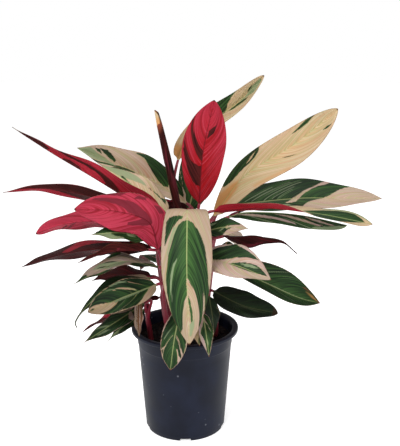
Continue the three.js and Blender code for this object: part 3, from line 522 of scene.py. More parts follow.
        shoot="shoot_left", fork=0.36, width=26, face=[0, 0.6, 0.8],
        midrib=[[-38, 2, 209], [-54, 4, 204], [-75, 2, 194]],
        fold=[15, 15], wave=1, base="green", dark=0.3,
        patches=[
            ("pale", [(0.4, -0.3), (0.7, -0.2), (0.7, 0), (0.4, -0.1)]),
        ],
    ),
    "leaf_low_left_green": dict(
        shoot="shoot_basal_left", fork=0.85, width=27, face=[0, -0.7, 0.8],
        midrib=[[-59, -58, 221], [-101, -82, 201], [-143, -94, 177]],
        fold=[14, 14], base="green", dark=0.5, pink=0.8, hem=0.6,
        patches=[
            ("cream", [(0.12, 0.5), (0.2, 0.26), (0.28, 0.34), (0.37, 0.55), (0.46, 0.84), (0.5, 1.02),
                (0.4, 1.02), (0.34, 0.78), (0.26, 0.6), (0.18, 0.54)]),
            ("cream", [(0.28, -1.02), (0.31, -0.6), (0.26, 0.1), (0.22, 0.14), (0.22, -0.3),
                (0.25, -1.02)]),
            ("pale", [(0.6, 0), (0.7, 0.44), (0.79, 0.92), (0.76, 0.95), (0.66, 0.5), (0.58, 0.1)]),
            ("pale", [(0.6, -0.5), (0.78, -0.5), (0.8, -0.2), (0.66, -0.2)]),
        ],
    ),
    "leaf_low_left_small": dict(
        shoot="shoot_basal_left", fork=0.8, width=26, face=[0, -0.7, 0.8],
        midrib=[[-62, -14, 195], [-91, -38, 179], [-116, -48, 158]],
        fold=[20, 20], belly=0.35, point=2.2, base="green", dark=0.3, pink=0.6,
        patches=[
            ("pale", [(0.66, 0), (0.72, -0.6), (0.8, -1.02), (1.02, -1.02), (1.02, 1.02), (0.8, 0.6)]),
            ("cream", [(0.34, -0.3), (0.38, -0.7), (0.42, -1.02), (0.38, -1.02), (0.34, -0.6),
                (0.3, -0.2)]),
        ],
    ),
    "leaf_rim_dry": dict(
        shoot="shoot_basal_left", fork=0.75, width=22, face=[0.8, -0.6, 0.2],
        midrib=[[-67, -78, 234], [-69, -88, 211], [-65, -86, 182]],
        fold=[35, 35], wave=1, base="cream", pink=0.8, dark=0.2, dull_and_shade=0.35, worn_edge=0.3,
        patches=[
            ("brown", [(0.06, -0.95), (0.5, -0.9), (0.92, -0.8), (0.92, -0.52), (0.5, -0.56),
                (0.06, -0.6)]),
            ("brown", [(0.1, -0.5), (0.5, -0.46), (0.92, -0.4), (0.92, -0.1), (0.5, -0.14), (0.1, -0.2)]),
            ("brown", [(0.06, -0.1), (0.5, -0.06), (0.9, 0), (0.9, 0.26), (0.5, 0.24), (0.06, 0.2)]),
        ],
    ),
    "leaf_back_upright": dict(
        shoot="shoot_back", fork=0.95, width=58, face=[0, -0.7, 0.7],
        midrib=[[6, 56, 330], [26, 88, 410], [38, 140, 462]],
    ),
    "leaf_back_centre": dict(
        shoot="shoot_back", fork=0.85, width=60, face=[0, 0.3, 1],
        midrib=[[4, 78, 285], [8, 135, 305], [10, 205, 262]],
    ),
    "leaf_back_left": dict(
        shoot="shoot_back", fork=0.75, width=58, face=[-0.3, 0.2, 1],
        midrib=[[-16, 60, 290], [-55, 108, 312], [-92, 172, 268]],
    ),
    "leaf_back_right": dict(
        shoot="shoot_back", fork=0.8, width=58, face=[0.3, 0.2, 1],
        midrib=[[26, 58, 282], [64, 104, 290], [104, 164, 232]],
        base="cream", turned=True, pink=0.5,
        patches=[
            ("green", (0.1, 0.1, 0.9, 0.05)),
            ("green", (0.3, -0.1, -0.9, 0.04)),
            ("pale", (0.5, 0.1, 0.9, 0.03)),
        ],
    ),
    "leaf_centre_dark": dict(
        shoot="shoot_centre", fork=0.8, width=24, face=[0, 0.9, 0.3],
        midrib=[[4, 14, 345], [-15, 14, 349], [-36, 14, 358]],
        fold=[10, 10], point=0.8, base="green", dark=0.55, pink=0.6,
        patches=[
            ("cream", [(0.5, -1.02), (0.62, -0.6), (0.8, -0.5), (1.02, -0.4), (1.02, -1.02)]),
        ],
    ),
    "leaf_back_tall_left": dict(
        shoot="shoot_back", fork=0.92, width=52, face=[0.2, -0.6, 0.9],
        midrib=[[-32, 66, 350], [-68, 104, 373], [-110, 152, 391]],
    ),
    "leaf_back_tall_right": dict(
        shoot="shoot_right", fork=0.72, width=44, face=[-0.2, -0.7, 0.8],
        midrib=[[64, 54, 350], [118, 100, 396], [174, 145, 428]],
    ),
    "leaf_back_mid_right": dict(
        shoot="shoot_right", fork=0.6, width=46, face=[0.1, 0.2, 1],
        midrib=[[84, 56, 330], [152, 104, 340], [230, 150, 335]],
    ),
    "leaf_back_inner_left": dict(
        shoot="shoot_left", fork=0.7, width=54, face=[-0.5, 0.2, 1],
        midrib=[[-52, 26, 300], [-96, 62, 314], [-150, 104, 282]],
    ),
    "leaf_back_inner_right": dict(
        shoot="shoot_right", fork=0.6, width=44, face=[0.5, 0.2, 1],
        midrib=[[56, 30, 266], [86, 66, 268], [110, 98, 234]],
    ),
    "leaf_back_low_left": dict(
        shoot="shoot_back", fork=0.5, width=50, face=[-0.3, 0.4, 1],
        midrib=[[-18, 60, 236], [-48, 105, 248], [-78, 156, 204]],
    ),
    "leaf_back_low_right": dict(
        shoot="shoot_back", fork=0.55, width=52, face=[0.3, 0.4, 1],
        midrib=[[24, 62, 228], [56, 104, 240], [88, 152, 196]],
    ),
}

# The new leaf, which is still rolled: where it grows, the line it stands along, and its radii up that line.
SPIKE = dict(
    shoot="shoot_centre", fork=0.95, line=[[-7, -4, 340], [-14, -4, 372], [-24, -2, 424], [-39, 2, 492]],
    radii=[4.6, 6, 6.5, 6.4, 6, 5.4, 4.8, 3.2],
)

# ---------- materials ----------


def linear(hex_colour):
    """An sRGB hex colour as linear RGBA."""
    parts = [int(hex_colour[i:i + 2], 16) / 255 for i in (1, 3, 5)]
    return [c / 12.92 if c <= 0.04045 else ((c + 0.055) / 1.055) ** 2.4 for c in parts] + [1.0]


def add(tree, kind, inputs=(), **settings):
    """Adds a shader node with its settings. Its inputs are values or links from other nodes, and stand under
    the names of its sockets or in the order of those in use."""
    node = tree.nodes.new("ShaderNode" + kind)
    for name, value in settings.items():
        setattr(node, name, value)
    if isinstance(inputs, dict):
        pairs = [(node.inputs[name], value) for name, value in inputs.items()]
    else:
        pairs = zip([socket for socket in node.inputs if socket.enabled], inputs)
    for socket, value in pairs:
        if isinstance(value, bpy.types.Node):
            value = next(output for output in value.outputs if output.enabled)
        if isinstance(value, bpy.types.NodeSocket):
            tree.links.new(value, socket)
        else:
            socket.default_value = value
    return node


def new_material(name):
    """A material with an empty node tree, and that tree."""
    material = bpy.data.materials.new(name)
    material.use_nodes = True
    material.node_tree.nodes.clear()
    return material, material.node_tree


def layered(tree, skin, layers):
    """Lays colours over a skin, one after the other. A layer is a colour and its share. Or it is a colour, a
    pattern, two values of the pattern and the layer's share at each of them, which is 0 and 1 if not said."""
    for colour, share, *reach in layers:
        if reach:
            share = add(tree, "MapRange", (share, *reach), interpolation_type="SMOOTHSTEP")
        skin = add(tree, "Mix", (share, skin, colour), data_type="RGBA")
    return skin


# Streaks come once in so many millimetres across the side veins and along them. The last number is for the
# leaf's own number, which gives each leaf its own streaks.
FINE_STREAKS = (1 / 2.381, 1 / 28.57, 1)
BROAD_STREAKS = (1 / 6.25, 1 / 33.33, 1)
RAGGED = 4.6  # millimetres that the fine streaks push the edge of a patch to and fro
VEIN_RIDGE = 2.4  # millimetres from one raised vein to the next, coarser than real ones, so that they show


def leaf_material(name, colours, rib_share, roughness, specular):
    """A leaf's skin. The blade's mesh carries four sets of numbers, with lengths in millimetres. field is how
    far a point lies inside the green, the pale patches and the dried parts. place is where the side vein
    through it leaves the midrib, how far across the blade it lies, and the leaf's own number. mood is how
    pink the leaf is there, how far painted shade and its own darker tone darken it, and how far the point
    lies inside the tanned parts. veins is how far it lies inside the midrib, how much lighter the green runs
    beside the midrib, and how far the cream is darkened towards a grey brown, partly a duller tone and partly
    painted shade. rib_share is how strongly the midrib shows on the cream and on the green."""
    material, tree = new_material(name)
    colours = {tone: linear(colour) for tone, colour in colours.items()}
    field, place, mood, veins = [
        add(tree, "Attribute", attribute_name=key).outputs["Vector"]
        for key in ("field", "place", "mood", "veins")]
    green_in, pale_in, dry_in = add(tree, "SeparateXYZ", [field]).outputs
    pink, dark, tan_in = add(tree, "SeparateXYZ", [mood]).outputs
    rib_in, band, dull_and_shade = add(tree, "SeparateXYZ", [veins]).outputs
    vein_start = add(tree, "SeparateXYZ", [place])

    # Side veins run out from the midrib, so every streak is long that way and narrow across it.
    fine_at = add(tree, "VectorMath", (place, FINE_STREAKS), operation="MULTIPLY")
    fine = add(tree, "TexNoise", {"Vector": fine_at, "Scale": 1.0, "Detail": 2.0})
    broad_at = add(tree, "VectorMath", (place, BROAD_STREAKS), operation="MULTIPLY")
    broad = add(tree, "TexNoise", {"Vector": broad_at, "Scale": 1.0, "Detail": 1.0})

    # The edge of a patch runs ragged along the streaks. It fades out within about a millimetre, and a tanned
    # one within nine.
    push = add(tree, "Math", (fine, RAGGED, -RAGGED / 2), operation="MULTIPLY_ADD")
    green_edge, pale_edge, dry_edge, tan_edge = [
        add(tree, "Math", (inside, push), operation="ADD")
        for inside in (green_in, pale_in, dry_in, tan_in)]
    in_green = add(tree, "MapRange", (green_edge, -0.35, 0.35), interpolation_type="SMOOTHSTEP")
    in_rib = add(tree, "MapRange", (rib_in, -0.45, 0.3), interpolation_type="SMOOTHSTEP")
    rib_shows = add(tree, "MapRange", (in_green, 0, 1, *rib_share), interpolation_type="SMOOTHSTEP")
    rib = add(tree, "Math", (in_rib, rib_shows), operation="MULTIPLY")
    broken = add(tree, "MapRange", (fine, 0.35, 0.6, 0.45, 1), interpolation_type="SMOOTHSTEP")
    beside_rib = add(tree, "Math", (band, broken), operation="MULTIPLY")

    green = layered(tree, colours["green"], [
        (colours["green_streak"], fine, 0.4, 0.6),
        # The darkest green streaks lie where the fine noise is low, where the bump also sinks: partly the
        # leaf's own streaks and partly painted shade in those hollows.
        (colours["shade"], fine, 0.3, 0.42, 0.45, 0),
        (colours["green_light"], broad, 0.5, 0.68, 0, 0.55),
        (colours["green_light"], beside_rib),
    ])
    cream = layered(tree, colours["cream"], [
        (colours["pink"], pink),
        (colours["cream_streak"], broad, 0.48, 0.62, 0, 0.6),
        (colours["cream_light"], fine, 0.5, 0.68, 0, 0.5),
        (colours["cream_blush"], fine, 0.32, 0.46, 0.6, 0),
        # The cream darkens towards a grey brown: partly a duller tone of its own, partly painted shade.
        (colours["cream_dull_and_shade"], dull_and_shade),
    ])
    skin = layered(tree, cream, [
        (green, in_green),
        (colours["pale"], pale_edge, -0.7, 0.5, 0, 0.85),
        (colours["tan"], tan_edge, -4, 5, 0, 0.85),
        (colours["rib"], rib),
        (colours["dry"], dry_edge, -0.5, 0.6),
        # Painted shade, with some of the leaf's own darker tone: the skin darkens towards near black by the
        # dark share.
        (colours["shade"], dark),
    ])

    # Raised veins, with the streaks as a finer unevenness over them.
    vein_wave = add(tree, "Math", (vein_start, TURN / VEIN_RIDGE), operation="MULTIPLY")
    ridge = add(tree, "Math", [vein_wave], operation="SINE")
    streak_height = add(tree, "Math", (fine, 1.6), operation="MULTIPLY")
    height = add(tree, "Math", (ridge, 0.5, streak_height), operation="MULTIPLY_ADD")
    bump = add(tree, "Bump", {"Strength": 0.55, "Distance": 0.4 * MM, "Height": height})
    smoothest, dullest = roughness - 0.05, roughness + 0.07
    rough = add(tree, "MapRange", (fine, 0.3, 0.7, smoothest, dullest), interpolation_type="SMOOTHSTEP")
    shader = add(tree, "BsdfPrincipled", {
        "Base Color": skin, "Roughness": rough, "Normal": bump, "IOR": 1.45, "Specular IOR Level": specular,
    })
    add(tree, "OutputMaterial", {"Surface": shader})
    return material


# The waxy upper skin of a prayer plant's leaf: half glossy, deep green with cream and pink sectors, and a
# soft shine that breaks on the raised veins.
# Its grey brown for dulled cream and its near black are in part painted shade.
leaf_upper = leaf_material("leaf_upper_skin", dict(
    green="#101f10", green_streak="#233d1f", green_light="#446a33", cream="#c3a67c", pink="#b49a9c",
    cream_streak="#a8a672", cream_light="#dccbb4", cream_blush="#bd8768", cream_dull_and_shade="#75664e",
    pale="#84946f", rib="#a3ab72", tan="#c48c52", dry="#6a4529", shade="#0c120c",
), rib_share=(0.4, 0.72), roughness=0.38, specular=0.14)

# The underside, duller than the upper skin: wine red where the top is green and crimson where it is cream.
# Its dark brown red for dulled crimson and its near black are in part painted shade.
leaf_under = leaf_material("leaf_wine_underside", dict(
    green="#2b0f0e", green_streak="#431615", green_light="#541d1c", cream="#8f1017", pink="#b2384e",
    cream_streak="#6e0f14", cream_light="#b3404f", cream_blush="#8a0e12", cream_dull_and_shade="#4a1418",
    pale="#66222c", rib="#561019", tan="#8a4a34", dry="#4c2c22", shade="#120709",
), rib_share=(0.7, 0.4), roughness=0.46, specular=0.06)

# Fibres come once in so many millimetres along a petiole and round it. The last number is for the rod's own
# number, which gives each cane and petiole its own fibres.
FIBRES = (1 / 23.81, 1 / 0.3571, 1.4)
CANE_FOOT = 70.0  # millimetres over which a cane turns from its foot's colour to its own


def stem_material():
    """The smooth skin of canes and petioles: half glossy, brown red at the foot and wine red above, with fine
    darker fibres running up it."""
    material, tree = new_material("petiole_skin")
    place = add(tree, "Attribute", attribute_name="place").outputs["Vector"]
    height = add(tree, "SeparateXYZ", [place])
    fibre_at = add(tree, "VectorMath", (place, FIBRES), operation="MULTIPLY")
    fibre = add(tree, "TexNoise", {"Vector": fibre_at, "Scale": 1.0, "Detail": 2.0})
    skin = layered(tree, linear("#5a2a26"), [
        (linear("#8c2236"), height, 0, CANE_FOOT),
        (linear("#4a1820"), fibre, 0.45, 0.7),
    ])
    rough = add(tree, "MapRange", (fibre, 0.3, 0.7, 0.36, 0.5), interpolation_type="SMOOTHSTEP")
    bump = add(tree, "Bump", {"Strength": 0.3, "Distance": 0.4 * MM, "Height": fibre})
    shader = add(tree, "BsdfPrincipled", {
        "Base Color": skin, "Roughness": rough, "Normal": bump, "IOR": 1.45,
    })
    add(tree, "OutputMaterial", {"Surface": shader})
    return material


petiole_skin = stem_material()

# The pot's patterns come once in so many millimetres.
MOULD_GRAIN = 1.1111  # coarser than the real one, so that it shows
CLOUD = 45.45
SPECK_CELL = 10.526


def pot_material():
    """Injection-moulded black polypropylene: even satin, a faint mould grain and a few pale dust specks."""
    material, tree = new_material("moulded_polypropylene")
    where = add(tree, "TexCoord").outputs["Object"]
    grain = add(tree, "TexNoise", {"Vector": where, "Scale": 1 / (MOULD_GRAIN * MM), "Detail": 2.0})
    cloud = add(tree, "TexNoise", {"Vector": where, "Scale": 1 / (CLOUD * MM), "Detail": 3.0})
    cells = add(tree, "TexVoronoi", {"Vector": where, "Scale": 1 / (SPECK_CELL * MM), "Randomness": 1.0})
    # A speck sits at the middle of a cell, and only few cells have one.
    from_middle = cells.outputs["Distance"]
    middle = add(tree, "MapRange", (from_middle, 0.08, 0.2, 1, 0), interpolation_type="SMOOTHSTEP")
    chance = add(tree, "SeparateColor", [cells.outputs["Color"]])
    has_speck = add(tree, "MapRange", (chance, 0.85, 0.88, 0, 0.32), interpolation_type="SMOOTHSTEP")
    skin = layered(tree, linear("#0e121f"), [
        (linear("#161b2b"), cloud, 0.35, 0.7),
        (linear("#8d9099"), add(tree, "Math", (middle, has_speck), operation="MULTIPLY")),
    ])
    rough = add(tree, "MapRange", (cloud, 0.3, 0.7, 0.4, 0.52), interpolation_type="SMOOTHSTEP")
    bump = add(tree, "Bump", {"Strength": 0.12, "Distance": 0.3 * MM, "Height": grain})
    shader = add(tree, "BsdfPrincipled", {
        "Base Color": skin, "Roughness": rough, "Normal": bump, "IOR": 1.49, "Specular IOR Level": 0.13,
    })
    add(tree, "OutputMaterial", {"Surface": shader})
    return material


pot_plastic = pot_material()

# The soil's patterns come once in so many millimetres.
LUMP = 6.25
CRUMB_CELL = 4.1667


def soil_material():
    """Damp peat mix: nearly black fibre with browner crumbs, and no gloss."""
    material, tree = new_material("damp_peat_mix")
    where = add(tree, "TexCoord").outputs["Object"]
    lumps = add(tree, "TexNoise", {"Vector": where, "Scale": 1 / (LUMP * MM), "Detail": 5.0})
    crumbs = add(tree, "TexVoronoi", {"Vector": where, "Scale": 1 / (CRUMB_CELL * MM)})
    skin = layered(tree, linear("#0c0a0a"), [
        (linear("#251b17"), lumps, 0.4, 0.68),
        (linear("#36291f"), crumbs, 0, 0.35, 0.35, 0),
    ])
    bump = add(tree, "Bump", {"Strength": 0.9, "Distance": 1.5 * MM, "Height": lumps})
    shader = add(tree, "BsdfPrincipled", {
        "Base Color": skin, "Roughness": 0.93, "Normal": bump, "IOR": 1.45, "Specular IOR Level": 0.2,
    })
    add(tree, "OutputMaterial", {"Surface": shader})
    return material


peat_mix = soil_material()

TABLE_GLOW = 0.54  # how bright the floor shines of itself, where 1 is white


def light_table_material():
    """The white acrylic of a light table: matt, and lit a little from below."""
    material, tree = new_material("light_table_acrylic")
    shader = add(tree, "BsdfPrincipled", {
        "Base Color": linear("#fafafa"), "Roughness": 0.9, "Specular IOR Level": 0.1,
        "Emission Color": linear("#ffffff"), "Emission Strength": TABLE_GLOW,
    })
    add(tree, "OutputMaterial", {"Surface": shader})
    return material


# ---------- pieces ----------


def mesh_object(name, points, faces, materials, smooth=True):
    """A mesh in the scene, from points in metres."""
    mesh = bpy.data.meshes.new(name)
    mesh.from_pydata([tuple(p) for p in points], [], faces)
    for material in materials:
        mesh.materials.append(material)
    mesh.polygons.foreach_set("use_smooth", [smooth] * len(mesh.polygons))
    mesh.update()
    piece = bpy.data.objects.new(name, mesh)
    bpy.context.scene.collection.objects.link(piece)
    return piece


def dress(piece, slot, *nodes):
    """Hangs a piece of the plant under the root body, and hides the nodes of the part that it stands in for.
    """
    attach(piece, "root")
    if nodes:
        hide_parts(*nodes)


def store(piece, name, values):
    """Keeps three numbers for each point of the mesh, for its material."""
    layer = piece.data.attributes.new(name, "FLOAT_VECTOR", "POINT")
    layer.data.foreach_set("vector", np.asarray(values, np.float32).ravel())


# ---------- camera, light and floor, in metres ----------

CAMERA_PLACE = (0, -1.018, 0.577)
LOOKS_DOWN = 13.8  # degrees
TURNED_RIGHT = 1.32  # degrees
FOCAL_LENGTH = 700  # pixels, in a picture that is PICTURE_HEIGHT tall
PICTURE_HEIGHT = 446  # pixels
FILM = 36  # millimetres along the picture's longer side

camera_data = bpy.data.cameras.new("camera")
camera = bpy.data.objects.new("camera", camera_data)
camera.location = CAMERA_PLACE
camera.rotation_euler = (math.radians(90 - LOOKS_DOWN), 0, math.radians(-TURNED_RIGHT))
camera_data.sensor_width = FILM
camera_data.lens = FOCAL_LENGTH * FILM / PICTURE_HEIGHT
camera_data.clip_end = 50
bpy.context.scene.collection.objects.link(camera)
bpy.context.scene.camera = camera

PLANT_MIDDLE = (0, 0, 0.3)


def softbox(name, place, size, power):
    """A square light of so many metres and watts, which looks at the middle of the plant."""
    data = bpy.data.lights.new(name, "AREA")
    data.shape = "SQUARE"
    data.size = size
    data.energy = power
    light = bpy.data.objects.new(name, data)
    light.location = place
    way = np.array(PLANT_MIDDLE, float) - np.array(place, float)
    tilt = math.atan2(math.hypot(way[0], way[1]), -way[2])
    turn = math.atan2(way[1], way[0]) - math.pi / 2
    light.rotation_euler = (tilt, 0, turn)
    bpy.context.scene.collection.objects.link(light)


softbox("key_softbox", (-0.9, -1.5, 1.7), 1.1, 34)
softbox("fill_softbox", (1.6, -0.9, 1.0), 1.2, 11)
softbox("top_softbox", (0.1, 0.5, 1.9), 1.2, 12)

# The studio is a white sweep all round that glows less than it looks, so that the softboxes shape the
# leaves.
SWEEP_GLOW = 0.5
world = bpy.data.worlds.new("white_studio")
world.use_nodes = True
world.node_tree.nodes.clear()
seen = add(world.node_tree, "Background", {"Color": linear("#ffffff"), "Strength": 1.0})
glow = add(world.node_tree, "Background", {"Color": linear("#ffffff"), "Strength": SWEEP_GLOW})
straight = add(world.node_tree, "LightPath").outputs["Is Camera Ray"]
sweep = add(world.node_tree, "MixShader", (straight, glow, seen))
add(world.node_tree, "OutputWorld", {"Surface": sweep})
bpy.context.scene.world = world
bpy.context.scene.view_settings.view_transform = "Standard"

FLOOR_REACH = 12.0
corners = [(-1, -1), (1, -1), (1, 1), (-1, 1)]
floor_points = [(x * FLOOR_REACH, y * FLOOR_REACH, 0) for x, y in corners]
floor = mesh_object("floor", floor_points, [(0, 1, 2, 3)], [light_table_material()])

# ---------- curves ----------

SPAN_STEPS = 120  # steps that a curve is drawn in between two of its points


def curve_through(points, shares):
    """Points, unit directions and length of a centripetal Catmull-Rom curve, at shares of its length."""
    p = np.array(points, float)
    p = np.vstack([2 * p[0] - p[1], p, 2 * p[-1] - p[-2]])
    t = np.linspace(0, 1, SPAN_STEPS + 1)[:, None]
    dense = [p[1:2]]
    for a, b, c, d in zip(p, p[1:], p[2:], p[3:]):
        t0, t1, t2 = (max(np.linalg.norm(v) ** 0.5, 1e-4) for v in (b - a, c - b, d - c))
        leave = ((b - a) / t0 - (c - a) / (t0 + t1) + (c - b) / t1) * t1
        arrive = ((c - b) / t1 - (d - b) / (t1 + t2) + (d - c) / t2) * t1
        dense.append((b + leave * t + (3 * (c - b) - 2 * leave - arrive) * t ** 2
                      + (2 * (b - c) + leave + arrive) * t ** 3)[1:])
    return along(np.vstack(dense), shares)


def along(dense, shares):
    """Points, unit directions and length at shares of a polyline's length."""
    run = np.concatenate([[0], np.cumsum(np.linalg.norm(np.diff(dense, axis=0), axis=1))])
    at = np.asarray(shares) * run[-1]
    slope = np.gradient(dense, run, axis=0)
    place = np.stack([np.interp(at, run, dense[:, k]) for k in range(3)], 1)
    way = np.stack([np.interp(at, run, slope[:, k]) for k in range(3)], 1)
    return place, way / np.linalg.norm(way, axis=1)[:, None], run[-1]


def square_to(direction, way):
    """The part of a direction that is square to a unit direction, made one long."""
    square = direction - (direction @ way) * way
    return square / np.linalg.norm(square)


def carried(start, index, ways):
    """A direction square to a curve at one station, carried to both of its ends without twisting."""
    found = np.zeros_like(ways)
    found[index] = square_to(np.array(start, float), ways[index])
    for i in range(index + 1, len(ways)):
        found[i] = square_to(found[i - 1], ways[i])
    for i in range(index - 1, -1, -1):
        found[i] = square_to(found[i + 1], ways[i])
    return found


# ---------- the pattern of a blade, in millimetres ----------

DEEP = 10.0  # well inside a patch, or well outside it
VEIN_SWEEP = 0.38  # how far a side vein runs forward on its way to the edge, as a share of the length
VEIN_BEND = 1.45  # above 1, it bends forward more and more towards the edge
STREAK_POINTS = 7  # along each side of a streak
STREAK_LEAST = 0.25  # share of its width that a streak has all along
SWELL = (0.05, 0.55)  # the rest swells as a sine from the first share of half a turn, for the second share

# The streaks of a leaf with no patches of its own, in shares of the blade: where the first may begin and the
# last does, how wide they are and how far apart, and where on the way to the edge they begin and end.
FIRST_STREAK = 0.1
LAST_STREAK = 0.8
FINE_SHARE = 0.75  # of the streaks are fine, the others broad
FINE_WIDTHS = (0.012, 0.06)
BROAD_WIDTHS = (0.06, 0.13)
STREAK_GAPS = (0.04, 0.2)
STREAK_REACHES = [(0.0, 1.1), (0.3, 1.1), (0.5, 1.1), (0.05, 0.7)]

RIB_LINE = 1.9  # width of the midrib's light line at the foot of the blade
RIB_LINE_THINS = 0.8  # the share of it that is gone at the tip
RIB_LINE_LEAST = 0.1  # added on either side all along, so that the line reaches the tip
BAND_REACH = 0.3  # how far the lighter green reaches beside the midrib, as a share of the half width
EDGE_PINK = 0.25  # how much pinker the blade is at its edge than at its midrib
DARK_TIP = (0.45, 0.85)  # where a dark tip begins and is full, in shares of the blade's length
SEEDS = 50  # the leaves' own numbers lie between 0 and this


def vein_run(v):
    """How far forward of its start on the midrib a side vein has run when it is v of the way to the edge."""
    return VEIN_SWEEP * np.abs(v) ** VEIN_BEND


def vein_streak(start, near, far, width):
    """The outline of a streak along a side vein that leaves the midrib at start. It goes from near to far
    across the blade and swells outwards to its full width. All are shares of the blade."""
    streak = []
    for v in np.linspace(near, far, STREAK_POINTS):
        streak.append((start + vein_run(v), v))
    for v in np.linspace(far, near, STREAK_POINTS):
        swell = math.sin(math.pi * (SWELL[0] + SWELL[1] * (v - near) / (far - near)))
        thick = width * (STREAK_LEAST + (1 - STREAK_LEAST) * swell)
        streak.append((start + thick + vein_run(v), v))
    return streak


def grown_patches(leaf, draws):
    """Streaks along the side veins for a leaf without patches of its own."""
    patches = []
    other = "cream" if leaf["base"] == "green" else "green"
    for side in (-1, 1):
        start = draws.uniform(0.0, FIRST_STREAK)
        while start < LAST_STREAK:
            width = draws.uniform(*(FINE_WIDTHS if draws.random() < FINE_SHARE else BROAD_WIDTHS))
            near, far = draws.choice(STREAK_REACHES)
            tone = draws.choice([other, other, "pale"])
            patches.append((tone, (start, side * near, side * far, width)))
            start += width + draws.uniform(*STREAK_GAPS)
    return patches


def inside_by(polygon, u, v):
    """How far points lie inside a closed outline, in its units, less than 0 outside it."""
    corners = np.array(polygon, float)
    ends = np.roll(corners, -1, axis=0)
    nearest = np.full(u.shape, 1e9)
    inside = np.zeros(u.shape, bool)
    for (x0, y0), (x1, y1) in zip(corners, ends):
        length = (x1 - x0) ** 2 + (y1 - y0) ** 2
        t = np.clip(((u - x0) * (x1 - x0) + (v - y0) * (y1 - y0)) / max(length, 1e-12), 0, 1)
        nearest = np.minimum(nearest, np.hypot(u - x0 - t * (x1 - x0), v - y0 - t * (y1 - y0)))
        if y0 != y1:
            inside ^= ((y0 > v) != (y1 > v)) & (u < (x1 - x0) * (v - y0) / (y1 - y0) + x0)
    return np.where(inside, nearest, -nearest)


def leaf_fields(leaf, u, v, half, length, draws):
    """How far each point of the blade lies inside the green, the pale and the dried parts, and, as a set of
    its own, inside the tanned parts."""
    green = np.full(u.shape, DEEP if leaf["base"] == "green" else -DEEP)
    pale, tan, brown = (np.full(u.shape, -DEEP) for _ in range(3))
    widest = float(np.max(half))
    for tone, shape in leaf["patches"] or grown_patches(leaf, draws):
        corners = shape if isinstance(shape, list) else vein_streak(*shape)
        depth = inside_by([(a * length, b * widest) for a, b in corners], u * length, v * widest)
        if tone == "green":
            green = np.maximum(green, depth)
            pale = np.minimum(pale, -depth)
        elif tone == "cream":
            green = np.minimum(green, -depth)
            pale = np.minimum(pale, -depth)
        elif tone == "pale":
            pale = np.maximum(pale, depth)
        elif tone == "tan":
            tan = np.maximum(tan, depth)
        else:
            brown = np.maximum(brown, depth)
    from_side = (1 - np.abs(v)) * half[:, None]
    if leaf["hem"]:
        green = np.minimum(green, from_side - leaf["hem"])
    dry_tip = leaf["dry"] - (1 - u) * length
    dry_side = leaf["worn_edge"] - from_side
    dry = np.maximum(np.maximum(dry_tip, dry_side), brown)
    return np.stack([green, pale, dry], -1), tan


def leaf_numbers(leaf, s, v, half, length, draws):
    """The four sets of numbers that a leaf's material reads, for each point of one skin."""
    u_grid = np.repeat(s[:, None], len(v), 1)
    v_grid = np.repeat(v[None], len(s), 0)
    even = np.ones(u_grid.shape)
    field, tan = leaf_fields(leaf, u_grid, v_grid, half, length, draws)
    vein_start = (u_grid - vein_run(v_grid)) * length
    across = v_grid * half[:, None]
    place = [vein_start, across, draws.uniform(0, SEEDS) * even]
    pink = leaf["pink"] + leaf["pink_tip"] * u_grid + EDGE_PINK * (np.abs(v_grid) - 0.5)
    # The dark share is partly the leaf's own darker tone and partly painted shade, and it grows towards the
    # tip.
    near_tip = np.clip((u_grid - DARK_TIP[0]) / (DARK_TIP[1] - DARK_TIP[0]), 0, 1)
    dark = np.minimum(leaf["dark"] + leaf["dark_tip"] * near_tip, 1)
    rib_in = RIB_LINE / 2 * (1 - RIB_LINE_THINS * s)[:, None] + RIB_LINE_LEAST - np.abs(across)
    band = leaf["band"] * np.exp(-(v_grid / BAND_REACH) ** 2)
    return {
        "field": field,
        "place": np.stack(place, -1),
        "mood": np.stack([np.clip(pink, 0, 1), dark, tan], -1),
        # The last of veins is how far the cream is dulled: partly a duller tone, partly painted shade.
        "veins": np.stack([rib_in, band, leaf["dull_and_shade"] * even], -1),
    }


# ---------- blades, in millimetres ----------

BLADE_THICKNESS = 0.55
THIN_EDGE = 1.5  # width along the edge over which the blade thins
EDGE_SHARE = 0.35  # what is left of its thickness at the edge
RIB_DEPTH = 1.25  # how far the midrib stands out under the blade
RIB_GROOVE = 0.25  # how far it is sunk above
RIB_REACH = 1.3  # how far from its middle it has sunk to a third
RIB_THINS = 0.75  # the share of it that is gone at the tip
COLLAR = 2  # radius where the blade meets its petiole
OPENS_OVER = 0.035  # share of the blade's length over which it opens out of that round foot
CUP_STEPS = 6  # steps that the bend from the midrib to the edge is summed in
RIPPLE_SHIFT = 1.3  # how far the ripples of the right half run ahead, in radians
RIPPLE_FULL = 8  # half width from which the ripples have their full height
CROWDING = 1.15  # above 1, the mesh is closer near the midrib than near the edge

TIP_FULL = 1.9  # the higher, the longer the outline keeps its width before it closes towards the tip

# Points of a blade's mesh along it and across it: with patches of its own, long or short, and without.
LONG_BLADE = 150
LONG_MESH = (141, 53)
SHORT_MESH = (81, 41)
PLAIN_MESH = (57, 25)


def outline(share, leaf):
    """Half the blade's width along it, as a share of its greatest half width."""
    belly = leaf["belly"]
    low = np.clip((belly - share) / belly, 0, 1)
    high = np.clip((share - belly) / (1 - belly), 0, 1)
    base, tip = (1 - low ** 2) ** leaf["shoulder"], (1 - high ** TIP_FULL) ** leaf["point"]
    return np.where(share < belly, base, tip)


def folded(leaf, v):
    """How far out and up the points v of the way to the edge lie, once the halves are folded and cupped."""
    fold = np.where(v < 0, leaf["fold"][0], leaf["fold"][1])
    out = np.zeros(len(v))
    rise = np.zeros(len(v))
    for i in range(CUP_STEPS):
        slope = np.radians(fold + leaf["cup"] * np.abs(v) * (i + 0.5) / CUP_STEPS)
        out += np.cos(slope) * np.abs(v) / CUP_STEPS
        rise += np.sin(slope) * np.abs(v) / CUP_STEPS
    return np.sign(v) * out, rise


